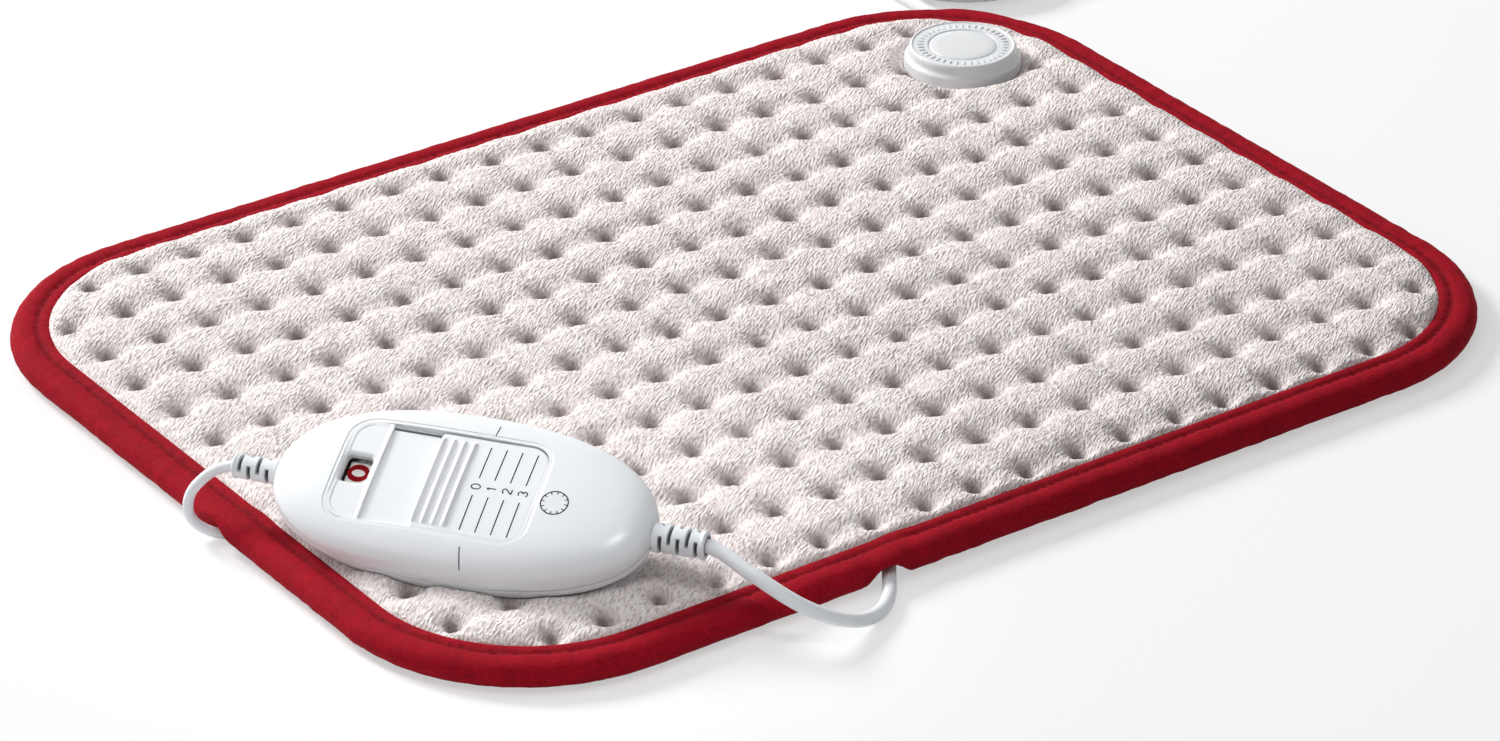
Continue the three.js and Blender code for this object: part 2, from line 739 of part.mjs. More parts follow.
// The arched face that the slider and the window plate share, as a cutter from that face up.
const archRadius = (recessHalfWidth ** 2) / (2 * (sliderCrown - sliderEdge));
function archSolid(from, to, halfWidth, bottom, lift = 0, top = null) {
  const shape = new THREE.Shape();
  const rise = (v) => sliderCrown + lift - (v * v) / (2 * archRadius);
  shape.moveTo(-halfWidth, top === null ? bottom : top);
  for (let i = 0; i <= archSteps; i += 1) {
    const v = -halfWidth + (2 * halfWidth * i) / archSteps;
    shape.lineTo(v, rise(v));
  }
  shape.lineTo(halfWidth, top === null ? bottom : top);
  const geometry = new THREE.ExtrudeGeometry(shape, { depth: to - from, bevelEnabled: false });
  return solid(geometry.rotateX(quarterTurn).rotateZ(quarterTurn).translate(from, 0, 0));
}

const drumPlace = [windowCentre, 0, drumAxisW];
const sliderLength = recessRight - bayLeft - travel - 2 * gap;
const sliderRight = recessRight - gap;
const sliderLeft = sliderRight - sliderLength;
const legLeft = sliderLeft + gap;
const carriageLeft = sliderLeft - gap;
const faceTop = housingRise + overrun;
const recessOutline = (grow) => roundRectangle(
  recessLeft - grow, recessRight + grow, -recessHalfWidth - grow, recessHalfWidth + grow, recessRadius + grow,
);
const screwPlaces = [
  [shellScrewLeftU, shellScrewLeftV], [shellScrewLeftU, -shellScrewLeftV],
  [shellScrewRightU, shellScrewRightV], [shellScrewRightU, -shellScrewRightV],
];
const bootHoles = [[-1, padBootRadius], [1, mainsBootRadius]].map(([side, radius]) => revolve([
  [0, side * (flangeU + flangeLength)], [radius - neckStep + gap, side * (flangeU + flangeLength)],
  [radius - neckStep + gap, side * (housingHalfLength + overrun)], [0, side * (housingHalfLength + overrun)],
], bootSides, 'x'));

function topShell() {
  const outer = ovalHalf(0, housingRise, domePower, domeShares, 1);
  const cavity = ovalHalf(housingWall, housingRise, domePower, cavityShares, 1);
  const wall = cut(outer, cavity, splitCut(1));
  const posts = screwPlaces.map(([u, v]) => post(u, v, shellPostRadius, -gap, housingRise));
  const tubBottom = bayFloor - bayFloorThickness;
  const tub = prism(recessOutline(pocketWall), tubBottom, faceTop).subtract(
    block(
      [recessLeft - overrun, -2 * recessHalfWidth, tubBottom - overrun],
      [bayLeft - pocketWall, 2 * recessHalfWidth, windowPlateBottom],
    ),
  );
  const ears = [-1, 1].map((side) => {
    const start = side > 0 ? pinionEnd + 2 * gap : -drumHalfWidth - earThickness - 2 * gap;
    return block(
      [windowCentre - earHalfLength, start, earBottom],
      [windowCentre + earHalfLength, start + earThickness, windowPlateBottom + gap],
    );
  });
  const body = join(wall, join(tub, ...posts).intersect(outer), ...ears);
  const face = prism(recessOutline(0), tubBottom, faceTop).intersect(
    archSolid(recessLeft - overrun, recessRight + overrun, recessHalfWidth + gap, 0, 0, faceTop),
  );
  const bay = prism(roundRectangle(recessLeft, recessRight, -recessHalfWidth, recessHalfWidth, recessRadius), bayFloor, faceTop)
    .subtract(block([recessLeft - overrun, -2 * recessHalfWidth, 0], [bayLeft, 2 * recessHalfWidth, faceTop + overrun]));
  const slots = [-1, 1].map((side) => {
    const middle = side * legOffset;
    return block(
      [legLeft - travel - gap, middle - legThickness / 2 - gap, tubBottom - overrun],
      [legLeft + legLength + gap, middle + legThickness / 2 + gap, bayFloor + overrun],
    );
  });
  const window = prism(roundRectangle(
    windowCentre - windowLength / 2, windowCentre + windowLength / 2, -windowHalfWidth, windowHalfWidth, windowRadius,
  ), windowPlateBottom - gap, faceTop);
  const bearing = revolve([
    [0, -axleEnd], [axleRadius + gap, -axleEnd], [axleRadius + gap, axleEnd + gap], [0, axleEnd + gap],
  ], screwSides, 'y', drumPlace);
  const bores = screwPlaces.map(([u, v]) => post(
    u, v, screwShank + screwClear, -overrun, shellHeadSeat + shellScrewLength + screwShank + gap, screwSides,
  ));
  return cut(body, face, bay, ...slots, window, bearing, ...bores, ...bootHoles);
}
piece('controller_top_shell', topShell(), housingFinish, controller);

function bottomShell() {
  const outer = ovalHalf(0, housingDrop, backPower, domeShares, -1);
  const cavity = ovalHalf(housingWall, housingDrop, backPower, cavityShares, -1);
  const boardBottom = boardTop - boardThickness;
  const bosses = screwPlaces.map(([u, v]) => post(u, v, shellBossRadius, -housingDrop, -gap));
  const rests = [[-1, -1], [-1, 1], [1, -1], [1, 1]].map(([su, sv]) => post(
    su * boardPostU, sv * boardPostV, boardPostRadius, -housingDrop, boardBottom - gap,
  ));
  const saddles = [-1, 1].map((side) => block(
    [side * clampU - clampLength / 2, -clampHalfWidth, -housingDrop],
    [side * clampU + clampLength / 2, clampHalfWidth, -clampHalfHeight - gap],
  ));
  const body = join(outer.subtract(cavity), join(...bosses, ...rests, ...saddles).intersect(outer));
  const bores = screwPlaces.flatMap(([u, v]) => [
    post(u, v, screwHead + screwClear, -2 * housingDrop, shellHeadSeat, screwSides),
    post(u, v, screwShank + screwClear, -housingDrop, overrun, screwSides),
  ]);
  return cut(body, splitCut(-1), ...bores, ...bootHoles);
}
piece('controller_bottom_shell', bottomShell(), housingFinish, controller);
screwPlaces.forEach(([u, v], k) => piece(
  `shell_screw_${k + 1}`,
  screw(shellScrewLength),
  steelFinish,
  controller,
  [u, v, shellHeadSeat - screwHeadHeight - gap],
));

// Slider: an arched cap with grip ribs, and two legs through the bay's slots
function sliderCap() {
  const plate = archSolid(sliderLeft, sliderRight, recessHalfWidth - gap, sliderBottom).intersect(
    prism(roundRectangle(
      sliderLeft - 2 * recessRadius, sliderRight, gap - recessHalfWidth, recessHalfWidth - gap, recessRadius - gap,
    ), 0, faceTop),
  );
  const ribs = Array.from({ length: ribCount }, (_, k) => {
    const start = sliderLeft + ribWidth / 2 + k * ribPitch;
    return archSolid(start, start + ribWidth, recessHalfWidth - ribPitch / 2, sliderBottom + gap, ribHeight);
  });
  const legs = [-1, 1].map((side) => block(
    [legLeft, side * legOffset - legThickness / 2, legBottom],
    [legLeft + legLength, side * legOffset + legThickness / 2, sliderBottom + gap],
  ));
  return join(plate, ...ribs, ...legs);
}
piece('slider_cap', sliderCap(), housingFinish, controller);

// A rack tooth or pinion tooth as an outline: wide at its root and narrow at its tip.
const toothPitch = (2 * Math.PI * pinionRadius) / pinionTeeth;
function pinionShape() {
  const points = [];
  for (let k = 0; k < pinionTeeth; k += 1) {
    const middle = ((k + 0.5) / pinionTeeth) * 2 * Math.PI - quarterTurn;
    const spread = (share, radius) => [-1, 1].map((side) => {
      const angle = middle + (side * share * 2 * Math.PI) / (2 * pinionTeeth);
      return new THREE.Vector2(radius * Math.cos(angle), radius * Math.sin(angle));
    });
    const [rootA, rootB] = spread(2 * toothShare - toothTipShare, pinionRadius - toothDedendum);
    const [tipA, tipB] = spread(toothTipShare, pinionRadius + toothAddendum);
    points.push(rootA, tipA, tipB, rootB);
  }
  return new THREE.Shape(points);
}

// The rack meshes below the pinion: its teeth stand in the pinion's gaps at rest.
function rackShape(from, to) {
  const pitchLine = drumAxisW - pinionRadius;
  const root = pitchLine - toothDedendum;
  const tip = pitchLine + toothAddendum;
  const shape = new THREE.Shape();
  shape.moveTo(from, rackBottom);
  shape.lineTo(to, rackBottom);
  shape.lineTo(to, root);
  const first = Math.ceil((from - windowCentre) / toothPitch + 0.5);
  const last = Math.floor((to - windowCentre) / toothPitch - 0.5);
  for (let k = last; k >= first; k -= 1) {
    const middle = windowCentre + k * toothPitch;
    const rootHalf = (2 * toothShare - toothTipShare) * toothPitch / 2;
    const tipHalf = toothTipShare * toothPitch / 2;
    shape.lineTo(middle + rootHalf, root);
    shape.lineTo(middle + tipHalf, tip);
    shape.lineTo(middle - tipHalf, tip);
    shape.lineTo(middle - rootHalf, root);
  }
  shape.lineTo(from, root);
  return shape;
}

// An outline in the U-W plane, as a solid between two places across the controller.
function sideways(shape, from, to) {
  const geometry = new THREE.ExtrudeGeometry(shape, { depth: to - from, bevelEnabled: false });
  return solid(geometry.rotateX(quarterTurn).translate(0, to, 0));
}

const carriageTop = carriageBottom + carriageThickness;
function sliderCarriage() {
  const plate = prism(roundRectangle(
    carriageLeft, carriageRight, -carriageHalfWidth, carriageHalfWidth, legThickness,
  ), carriageBottom, carriageTop);
  const notches = [-1, 1].map((side) => block(
    [legLeft - gap, side * legOffset - legThickness / 2 - gap, 0],
    [legLeft + legLength + gap, side * legOffset + legThickness / 2 + gap, faceTop],
  ));
  const rack = sideways(rackShape(windowCentre - rackSpare, carriageLeft + rackWebLength), pinionStart, pinionEnd);
  const web = block(
    [carriageLeft, pinionStart, rackBottom], [carriageLeft + rackWebLength, pinionEnd, carriageBottom + gap],
  );
  return join(cut(plate, ...notches), rack, web);
}
piece('slider_carriage', sliderCarriage(), nylonFinish, controller);

// Number drum: four flat faces behind the window, with a pinion and an axle on its side
function numberDrum() {
  const half = Math.sqrt(drumCorner ** 2 - drumFace ** 2);
  const section = new THREE.Shape([
    [half, -drumFace], [drumFace, -half], [drumFace, half], [half, drumFace],
    [-half, drumFace], [-drumFace, half], [-drumFace, -half], [-half, -drumFace],
  ].map(([u, w]) => new THREE.Vector2(u, w)));
  const axle = revolve([
    [0, -drumHalfWidth - earThickness - 2 * gap], [axleRadius, -drumHalfWidth - earThickness - 2 * gap],
    [axleRadius, pinionEnd + earThickness + 2 * gap], [0, pinionEnd + earThickness + 2 * gap],
  ], screwSides, 'y');
  const pinion = sideways(pinionShape(), pinionStart, pinionEnd);
  return join(sideways(section, -drumHalfWidth, drumHalfWidth), pinion, axle);
}
piece('number_drum', numberDrum(), numberFinish, controller, drumPlace);

// A bent leaf from its middle line, with a thickness, across a width.
function leaf(points, thickness, from, to) {
  const line = points.map(([u, w]) => new THREE.Vector2(u, w));
  const away = line.map((p, i) => {
    const before = line[Math.max(i - 1, 0)];
    const after = line[Math.min(i + 1, line.length - 1)];
    const ahead = after.clone().sub(before).normalize();
    return new THREE.Vector2(-ahead.y, ahead.x).multiplyScalar(thickness / 2);
  });
  const upper = line.map((p, i) => p.clone().add(away[i]));
  const lower = line.map((p, i) => p.clone().sub(away[i]));
  return sideways(new THREE.Shape([...lower, ...upper.reverse()]), from, to);
}

const bridgeTop = carriageBottom - gap - bridgeThickness / 2;
const bridgeFoot = boardTop + gap + bridgeThickness / 2;
piece('contact_bridge', leaf([
  [bridgeLength, bridgeTop], [0, bridgeTop], [-bridgeLength / 4, bridgeTop / 2 + bridgeFoot / 2], [0, bridgeFoot],
  [bridgeLength / 4, bridgeFoot],
], bridgeThickness, -bridgeHalfWidth, bridgeHalfWidth), brassFinish, controller);
const detentTop = carriageBottom - gap - detentThickness / 2;
const detentFoot = boardTop + gap + detentThickness / 2;
piece('detent_spring', leaf([
  [detentLength / 2, detentFoot], [detentLength / 4, detentFoot], [detentLength / 8, detentTop - detentThickness],
  [0, detentTop], [-detentLength / 8, detentTop - detentThickness], [-detentLength / 4, detentFoot],
  [-detentLength / 2, detentFoot],
], detentThickness, -detentV - detentHalfWidth, -detentV + detentHalfWidth), steelFinish, controller);

// Board with what stands on it
const board = cut(
  solid(skin([boardTop - boardThickness, boardTop].map((w) => ovalRing(boardHalfLength, boardHalfWidth, w)))),
  ...screwPlaces.map(([u, v]) => post(u, v, shellBossRadius + gap, boardTop - overrun, boardTop + overrun)),
);
piece('circuit_board', board, boardFinish, controller);
const boardSeat = boardTop + gap;
const glassFuse = revolve([
  [0, -fuseLength / 2], [fuseRadius, -fuseLength / 2], [fuseRadius, fuseLength / 2], [0, fuseLength / 2],
], bootSides, 'y');
piece('mains_fuse', glassFuse, steelFinish, controller, [fuseU, 0, boardSeat + fuseRadius]);
piece('capacitor', block(
  [capacitorU - capacitorLength / 2, -capacitorWidth / 2, boardSeat],
  [capacitorU + capacitorLength / 2, capacitorWidth / 2, boardSeat + capacitorHeight],
), darkFinish, controller);
[['pad', -1], ['mains', 1]].forEach(([end, side]) => {
  piece(`${end}_terminal_block`, block(
    [side * blockU - blockLength / 2, -blockWidth / 2, boardSeat],
    [side * blockU + blockLength / 2, blockWidth / 2, boardSeat + blockHeight],
  ), nylonFinish, controller);
});

// Strain reliefs and clamps at both ends
function boot(side, radius, length, rings, bore) {
  const start = housingHalfLength + gap;
  const ringPitch = length / (rings + 1);
  const outer = (place) => radius * (1 - (1 - bootTaperShare) * (place / length));
  const profile = [
    [bore, flangeU], [radius + flangeStep, flangeU], [radius + flangeStep, flangeU + flangeLength - gap],
    [radius - neckStep, flangeU + flangeLength - gap], [radius - neckStep, start], [radius, start],
  ];
  for (let k = 1; k <= rings; k += 1) {
    const middle = (k - bootGrooveLead) * ringPitch;
    const half = (bootGrooveShare * ringPitch) / 2;
    profile.push(
      [outer(middle), start + middle - half], [outer(middle) - bootGrooveDepth, start + middle - half],
      [outer(middle) - bootGrooveDepth, start + middle + half], [outer(middle), start + middle + half],
    );
  }
  profile.push([outer(length), start + length], [bore, start + length], [bore, flangeU]);
  return revolve(profile.map(([r, u]) => [r, side * u]), bootSides, 'x');
}
const padBore = padCordDiameter / 2 + gap;
const mainsBore = mainsDiameter / 2 + gap;
piece('pad_cord_boot', boot(-1, padBootRadius, padBootLength, padBootRings, padBore), cordFinish, controller);
piece('mains_cord_boot', boot(1, mainsBootRadius, mainsBootLength, mainsBootRings, mainsBore), cordFinish, controller);
[['pad', -1, padBore], ['mains', 1, mainsBore]].forEach(([end, side, bore]) => {
  const bored = revolve([
    [0, side * (clampU - clampLength)], [bore, side * (clampU - clampLength)],
    [bore, side * (clampU + clampLength)], [0, side * (clampU + clampLength)],
  ], bootSides, 'x');
  piece(`${end}_cord_clamp`, block(
    [side * clampU - clampLength / 2, -clampHalfWidth, -clampHalfHeight],
    [side * clampU + clampLength / 2, clampHalfWidth, clampHalfHeight],
  ).subtract(bored), nylonFinish, controller);
});

// Cords
piece('pad_cord', solid(tube(padCordCurve, padCordDiameter, cordSides, padCordSteps)), cordFinish);
piece('mains_cord', solid(tube(mainsCurve, mainsDiameter, cordSides, mainsSteps)), cordFinish);

// The coil's middle line: it spirals in, climbs a layer in the half turn where it turns back, and spirals out.
const [coilLeft, cordEnd] = mainsRoute.at(-1);
const coilOuter = coilRadius + (coilTurns / 2) * coilPitch;
const coilX = coilLeft + coilOuter;
const coilY = cordEnd + gap + mainsDiameter;
function coilLine() {
  const turns = 2 * coilTurns;
  const points = [];
  const total = turns * coilLoopSteps;
  for (let i = 0; i <= total; i += 1) {
    const turn = i / coilLoopSteps;
    const radius = coilOuter - Math.min(turn, turns - turn) * coilPitch;
    const climb = THREE.MathUtils.smoothstep(turn, coilTurns - coilClimb, coilTurns + coilClimb);
    const angle = Math.PI - 2 * Math.PI * turn;
    points.push(new THREE.Vector3(
      coilX + radius * Math.cos(angle), coilY + radius * Math.sin(angle), coilLift + climb * coilLayerPitch,
    ));
  }
  return points;
}

// The least free space between two stretches of a wound tube that lie over half a loop apart along it.
function leastGap(points, diameter) {
  let least = Infinity;
  for (let i = 0; i < points.length; i += 1) {
    for (let k = i + coilLoopSteps / 2; k < points.length; k += 1) {
      least = Math.min(least, points[i].distanceTo(points[k]));
    }
  }
  return least - diameter;
}

const coil = coilLine();
const coilStart = coil[0];
const coilEnd = coil[coil.length - 1];
coil.unshift(new THREE.Vector3(coilStart.x, coilStart.y - mainsDiameter, coilStart.z));
coil.push(new THREE.Vector3(coilEnd.x, coilEnd.y + tailLevel, coilEnd.z));
coil.push(new THREE.Vector3(coilEnd.x, coilEnd.y + (tailLevel + tailLength) / 2, (coilEnd.z + plugZ) / 2));
coil.push(new THREE.Vector3(coilEnd.x, coilEnd.y + tailLength, plugZ));
coil.push(new THREE.Vector3(coilEnd.x, coilEnd.y + tailLength + plugReliefLength / 2, plugZ));
console.log(`least gap of the coil to itself: ${leastGap(coil, mainsDiameter).toFixed(2)} mm`);
piece('mains_coil', solid(skin(sweep(coil, ringSection(mainsDiameter / 2, coilSides)))), cordFinish);

// A strap round the bundle of turns
function coilTie() {
  const halfWidth = (coilTurns * coilPitch + mainsDiameter) / 2 + gap;
  const low = coilLift - mainsDiameter / 2 - gap;
  const high = coilLift + coilLayerPitch + mainsDiameter / 2 + gap;
  const outer = roundRectangle(
    -halfWidth - tieThickness, halfWidth + tieThickness, low - tieThickness, high + tieThickness, mainsDiameter / 2,
  );
  const inner = roundRectangle(-halfWidth, halfWidth, low, high, mainsDiameter / 2 - tieThickness);
  outer.holes.push(inner);
  const geometry = new THREE.ExtrudeGeometry(outer, { depth: tieWidth, bevelEnabled: false, curveSegments: 3 });
  return solid(geometry.translate(0, 0, -tieWidth / 2).rotateX(quarterTurn).rotateZ(tieAngle).translate(
    coilX + coilRadius * Math.cos(tieAngle), coilY + coilRadius * Math.sin(tieAngle), 0,
  ));
}
piece('coil_tie', coilTie(), darkFinish);

// Flat two-pin plug, laid along +Y from the end of the coil
const plugStart = coilEnd.y + tailLength;
const plugBack = plugStart + plugReliefLength;
const plugFront = plugBack + plugBodyLength;
function plugBody() {
  const outline = new THREE.Shape();
  outline.moveTo(-plugReliefRadius, plugBack);
  outline.lineTo(plugReliefRadius, plugBack);
  outline.lineTo(plugNoseWidth / 2, plugBack + plugCornerRadius * 2);
  outline.lineTo(plugBodyWidth / 2, plugFront - plugBodyLength / 2);
  outline.lineTo(plugBodyWidth / 2, plugFront - plugCornerRadius);
  outline.lineTo(plugBodyWidth / 2 - plugCornerRadius / 2, plugFront);
  outline.lineTo(plugCornerRadius / 2 - plugBodyWidth / 2, plugFront);
  outline.lineTo(-plugBodyWidth / 2, plugFront - plugCornerRadius);
  outline.lineTo(-plugBodyWidth / 2, plugFront - plugBodyLength / 2);
  outline.lineTo(-plugNoseWidth / 2, plugBack + plugCornerRadius * 2);
  const bevel = plugCornerRadius / 2;
  const geometry = new THREE.ExtrudeGeometry(outline, {
    depth: plugBodyThickness - 2 * bevel, bevelThickness: bevel, bevelSize: bevel, bevelOffset: -bevel, bevelSegments: 2,
  });
  const body = solid(geometry.translate(0, 0, bevel - plugBodyThickness / 2));
  const relief = revolve([
    [0, plugStart], [mainsDiameter / 2 + 2 * gap, plugStart], [plugReliefRadius, plugBack + plugCornerRadius],
    [0, plugBack + plugCornerRadius],
  ], bootSides, 'y');
  const bore = revolve([
    [0, plugStart - overrun], [mainsBore, plugStart - overrun], [mainsBore, plugStart + plugReliefLength / 2 + gap],
    [0, plugStart + plugReliefLength / 2 + gap],
  ], bootSides, 'y');
  const seats = [-1, 1].map((side) => revolve([
    [0, plugFront - plugPinSeat], [plugPinRadius + gap, plugFront - plugPinSeat],
    [plugPinRadius + gap, plugFront + overrun], [0, plugFront + overrun],
  ], bootSides, 'y', [side * plugPinSpacing / 2, 0, 0]));
  return cut(join(body, relief), bore, ...seats);
}
piece('plug_body', plugBody(), cordFinish, part, [coilEnd.x, 0, plugZ]);
[-1, 1].forEach((side, k) => {
  const pin = revolve([
    [0, plugFront - plugPinSeat + gap], [plugPinRadius, plugFront - plugPinSeat + gap],
    [plugPinRadius, plugFront + plugPinLength - plugPinRadius], [plugPinRadius / 2, plugFront + plugPinLength],
    [0, plugFront + plugPinLength],
  ], bootSides, 'y');
  piece(`plug_pin_${k + 1}`, pin, brassFinish, part, [coilEnd.x + side * plugPinSpacing / 2, 0, plugZ]);
});

export default part;
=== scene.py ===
"""A fleece heating pad with a slide controller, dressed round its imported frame.

Sizes are in millimetres, as in the part's source, and become metres where a mesh is made. X runs along the
pad towards the round connector, Y across it away from the controller's mains end, and Z up from the table.
On the controller, U runs along it towards the mains end, V across it and W out of its face.
"""
import json
import logging
import math
from collections.abc import Callable
from dataclasses import dataclass, field
from enum import Enum

import bpy
import numpy as np
from mathutils import Matrix, Vector


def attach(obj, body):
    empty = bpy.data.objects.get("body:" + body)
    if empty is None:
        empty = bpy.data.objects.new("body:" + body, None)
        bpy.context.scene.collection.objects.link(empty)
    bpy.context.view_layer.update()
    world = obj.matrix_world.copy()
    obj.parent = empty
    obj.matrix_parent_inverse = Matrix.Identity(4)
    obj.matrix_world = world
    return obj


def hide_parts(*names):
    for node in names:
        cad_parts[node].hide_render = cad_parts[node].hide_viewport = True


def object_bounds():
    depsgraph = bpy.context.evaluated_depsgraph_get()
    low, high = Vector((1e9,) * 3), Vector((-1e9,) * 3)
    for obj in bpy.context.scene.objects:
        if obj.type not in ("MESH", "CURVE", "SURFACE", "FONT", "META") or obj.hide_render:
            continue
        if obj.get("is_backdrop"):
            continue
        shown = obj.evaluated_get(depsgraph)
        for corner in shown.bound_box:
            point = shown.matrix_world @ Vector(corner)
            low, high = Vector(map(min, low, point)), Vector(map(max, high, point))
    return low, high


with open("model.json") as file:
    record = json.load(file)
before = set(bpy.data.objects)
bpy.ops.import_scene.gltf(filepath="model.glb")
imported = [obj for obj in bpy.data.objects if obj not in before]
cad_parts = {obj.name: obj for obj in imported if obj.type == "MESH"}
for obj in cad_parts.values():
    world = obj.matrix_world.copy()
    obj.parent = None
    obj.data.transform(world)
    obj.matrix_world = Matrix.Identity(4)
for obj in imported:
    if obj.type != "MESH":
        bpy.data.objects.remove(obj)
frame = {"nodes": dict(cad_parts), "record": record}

Array = np.ndarray
Pair = tuple[float, float]
Triple = tuple[float, float, float]
Plane = Callable[[Array, Array], Array]
Socket = bpy.types.NodeSocket
MM = 0.001
TURN = 2.0 * math.pi
log = logging.getLogger("heating_pad")


class Body(Enum):
    """The bodies of the frame that a piece can ride on."""

    MAIN = "body"
    SLIDER = "slider"
    DRUM = "drum"


class Slot(Enum):
    """The record's material slots that the new pieces take their finish from."""

    FLEECE = "fleece"
    TAPE = "tape"
    LINING = "lining"
    HOUSING = "housing"
    CORD = "cord"
    DARK = "dark"
    BRASS = "brass"


# Geometry in arrays


def xyz(*parts: Array | float) -> Array:
    """Coordinates put side by side as the last axis."""
    return np.stack(np.broadcast_arrays(*parts), axis=-1)


def circle(count: int) -> Array:
    """Equal steps of angle round a circle."""
    return np.linspace(0.0, TURN, count, endpoint=False)


def squared(angle: Array, power: float | Array) -> tuple[Array, Array]:
    """Cosine and sine, each to a power but with its sign kept, which fills a circle out to a square."""
    cos, sin = np.cos(angle), np.sin(angle)
    return np.sign(cos) * np.abs(cos) ** power, np.sign(sin) * np.abs(sin) ** power


def bell(x: Array, size: float) -> Array:
    """A bell that is 1 at 0: exp(-(x / size)^2)."""
    return np.exp(-((x / size) ** 2))


def smooth(x: Array, low: float, high: float) -> Array:
    """A soft step: 0 up to low and 1 from high, and 3t^2 - 2t^3 of the share t between them."""
    t = np.clip((x - low) / (high - low), 0.0, 1.0)
    return t * t * (3.0 - 2.0 * t)


def softer_least(a: Array, b: Array, blend: float) -> Array:
    """The lesser of two heights, rounded where they cross: -k ln(exp(-a/k) + exp(-b/k))."""
    return np.minimum(a, b) - blend * np.log1p(np.exp(-np.abs(a - b) / blend))


def quarter(share: Array) -> Array:
    """Height of a quarter circle over its share, from 0 to 1: sqrt(1 - (1 - t)^2)."""
    return np.sqrt(np.maximum(1.0 - (1.0 - np.clip(share, 0.0, 1.0)) ** 2, 0.0))


def round_box(x: Array, y: Array, half_x: float, half_y: float, radius: float) -> Array:
    """Signed distance to a rectangle with round corners, below 0 inside it."""
    qx, qy = np.abs(x) - half_x + radius, np.abs(y) - half_y + radius
    return np.hypot(np.maximum(qx, 0.0), np.maximum(qy, 0.0)) + np.minimum(np.maximum(qx, qy), 0.0) - radius


def reach(angle: Array, held: Plane) -> Array:
    """How far rays go from 0 before a test of their places fails, by halving."""
    near, far = np.zeros_like(angle), np.full_like(angle, 90.0)
    for _ in range(40):
        half = (near + far) / 2.0
        inside = held(half * np.cos(angle), half * np.sin(angle))
        near, far = np.where(inside, half, near), np.where(inside, far, half)
    return near


def speckle(seed: int, shape: tuple[int, int], rows: float, columns: float, angle: float = 0.0) -> Array:
    """Soft noise of unit spread, made by keeping a band of the frequencies of white noise.

    A frequency f stays with the weight g^2 exp(1 - g^2), where g is the length of f after its parts along and
    across the grain are multiplied by the sizes of the spots.

    Args:
        seed: Start of the random draws.
        shape: Rows and columns of the grid.
        rows: Size of a spot along the rows' direction, in cells.
        columns: Size of a spot along the columns' direction, in cells.
        angle: Turn of the spots, in radians.

    Returns:
        A grid of that shape.
    """
    white = np.fft.rfft2(np.random.default_rng(seed).standard_normal(shape))
    fy, fx = np.fft.fftfreq(shape[0])[:, None], np.fft.rfftfreq(shape[1])[None, :]
    along = fx * math.cos(angle) + fy * math.sin(angle)
    across = fy * math.cos(angle) - fx * math.sin(angle)
    g = (along * columns) ** 2 + (across * rows) ** 2
    made = np.fft.irfft2(white * g * np.exp(1.0 - g), s=shape)
    return made / made.std()


def rounded_grid(xs: Array, ys: Array, right: float, left: float | None = None) -> tuple[Array, Array]:
    """Bends a square grid into a rectangle with round corners.

    In a corner's square, with a and b from 0 to 1 along its sides, the place becomes
    (a sqrt(1 - b^2 / 2), b sqrt(1 - a^2 / 2)), which puts the square's outer sides on the arc.

    Args:
        xs: Places of the columns, symmetric about 0.
        ys: Places of the rows, symmetric about 0.
        right: Radius of the corners at +X.
        left: Radius of the corners at -X, or None for the same.

    Returns:
        The grids of x and of y.
    """
    x, y = np.meshgrid(xs, ys)
    radius = np.where(x > 0.0, right, right if left is None else left)
    base_x, base_y = xs.max() - radius, ys.max() - radius
    a = np.clip((np.abs(x) - base_x) / radius, 0.0, 1.0)
    b = np.clip((np.abs(y) - base_y) / radius, 0.0, 1.0)
    bent_x = np.where(a > 0.0, base_x + radius * a * np.sqrt(1.0 - b * b / 2.0), np.abs(x))
    bent_y = np.where(b > 0.0, base_y + radius * b * np.sqrt(1.0 - a * a / 2.0), np.abs(y))
    return np.sign(x) * bent_x, np.sign(y) * bent_y


def spline(points: list[tuple[float, ...]] | Array, steps: int, closed: bool = False) -> Array:
    """A centripetal Catmull-Rom curve through points, the same as the frame's cords follow.

    Each span is a cubic Hermite between two points, with slopes from the neighbours' distances to the power
    of one half.

    Args:
        points: The points that it passes.
        steps: Samples in each span.
        closed: Whether it comes back to its first point.

    Returns:
        The samples, one row each.
    """
    p = np.asarray(points, float)
    first, last = (p[-1], [p[0], p[1]]) if closed else (2.0 * p[0] - p[1], 2.0 * p[-1] - p[-2])
    p = np.vstack([first, p, last])
    p0, p1, p2, p3 = p[:-3], p[1:-2], p[2:-1], p[3:]
    d0, d1, d2 = (np.sqrt(np.linalg.norm(b - a, axis=1))[:, None] for a, b in ((p0, p1), (p1, p2), (p2, p3)))
    m1 = ((p1 - p0) / d0 - (p2 - p0) / (d0 + d1) + (p2 - p1) / d1) * d1
    m2 = ((p2 - p1) / d1 - (p3 - p1) / (d1 + d2) + (p3 - p2) / d2) * d1
    t = (np.arange(steps) / steps)[None, :, None]
    p1, p2, m1, m2 = (a[:, None, :] for a in (p1, p2, m1, m2))
    ends = (2 * t**3 - 3 * t**2 + 1) * p1 + (3 * t**2 - 2 * t**3) * p2
    made = (ends + (t**3 - 2 * t**2 + t) * m1 + (t**3 - t**2) * m2).reshape(-1, p.shape[1])
    return made if closed else np.vstack([made, p[-2]])


def resample(line: Array, spacing: float, closed: bool = False) -> Array:
    """Points at equal steps along a line of points, no further apart than a spacing."""
    line = np.vstack([line, line[:1]]) if closed else line
    travel = np.concatenate([[0.0], np.cumsum(np.linalg.norm(np.diff(line, axis=0), axis=1))])
    places = np.linspace(0.0, travel[-1], int(math.ceil(travel[-1] / spacing)) + 1)
    made = np.stack([np.interp(places, travel, line[:, k]) for k in range(line.shape[1])], axis=1)
    return made[:-1] if closed else made


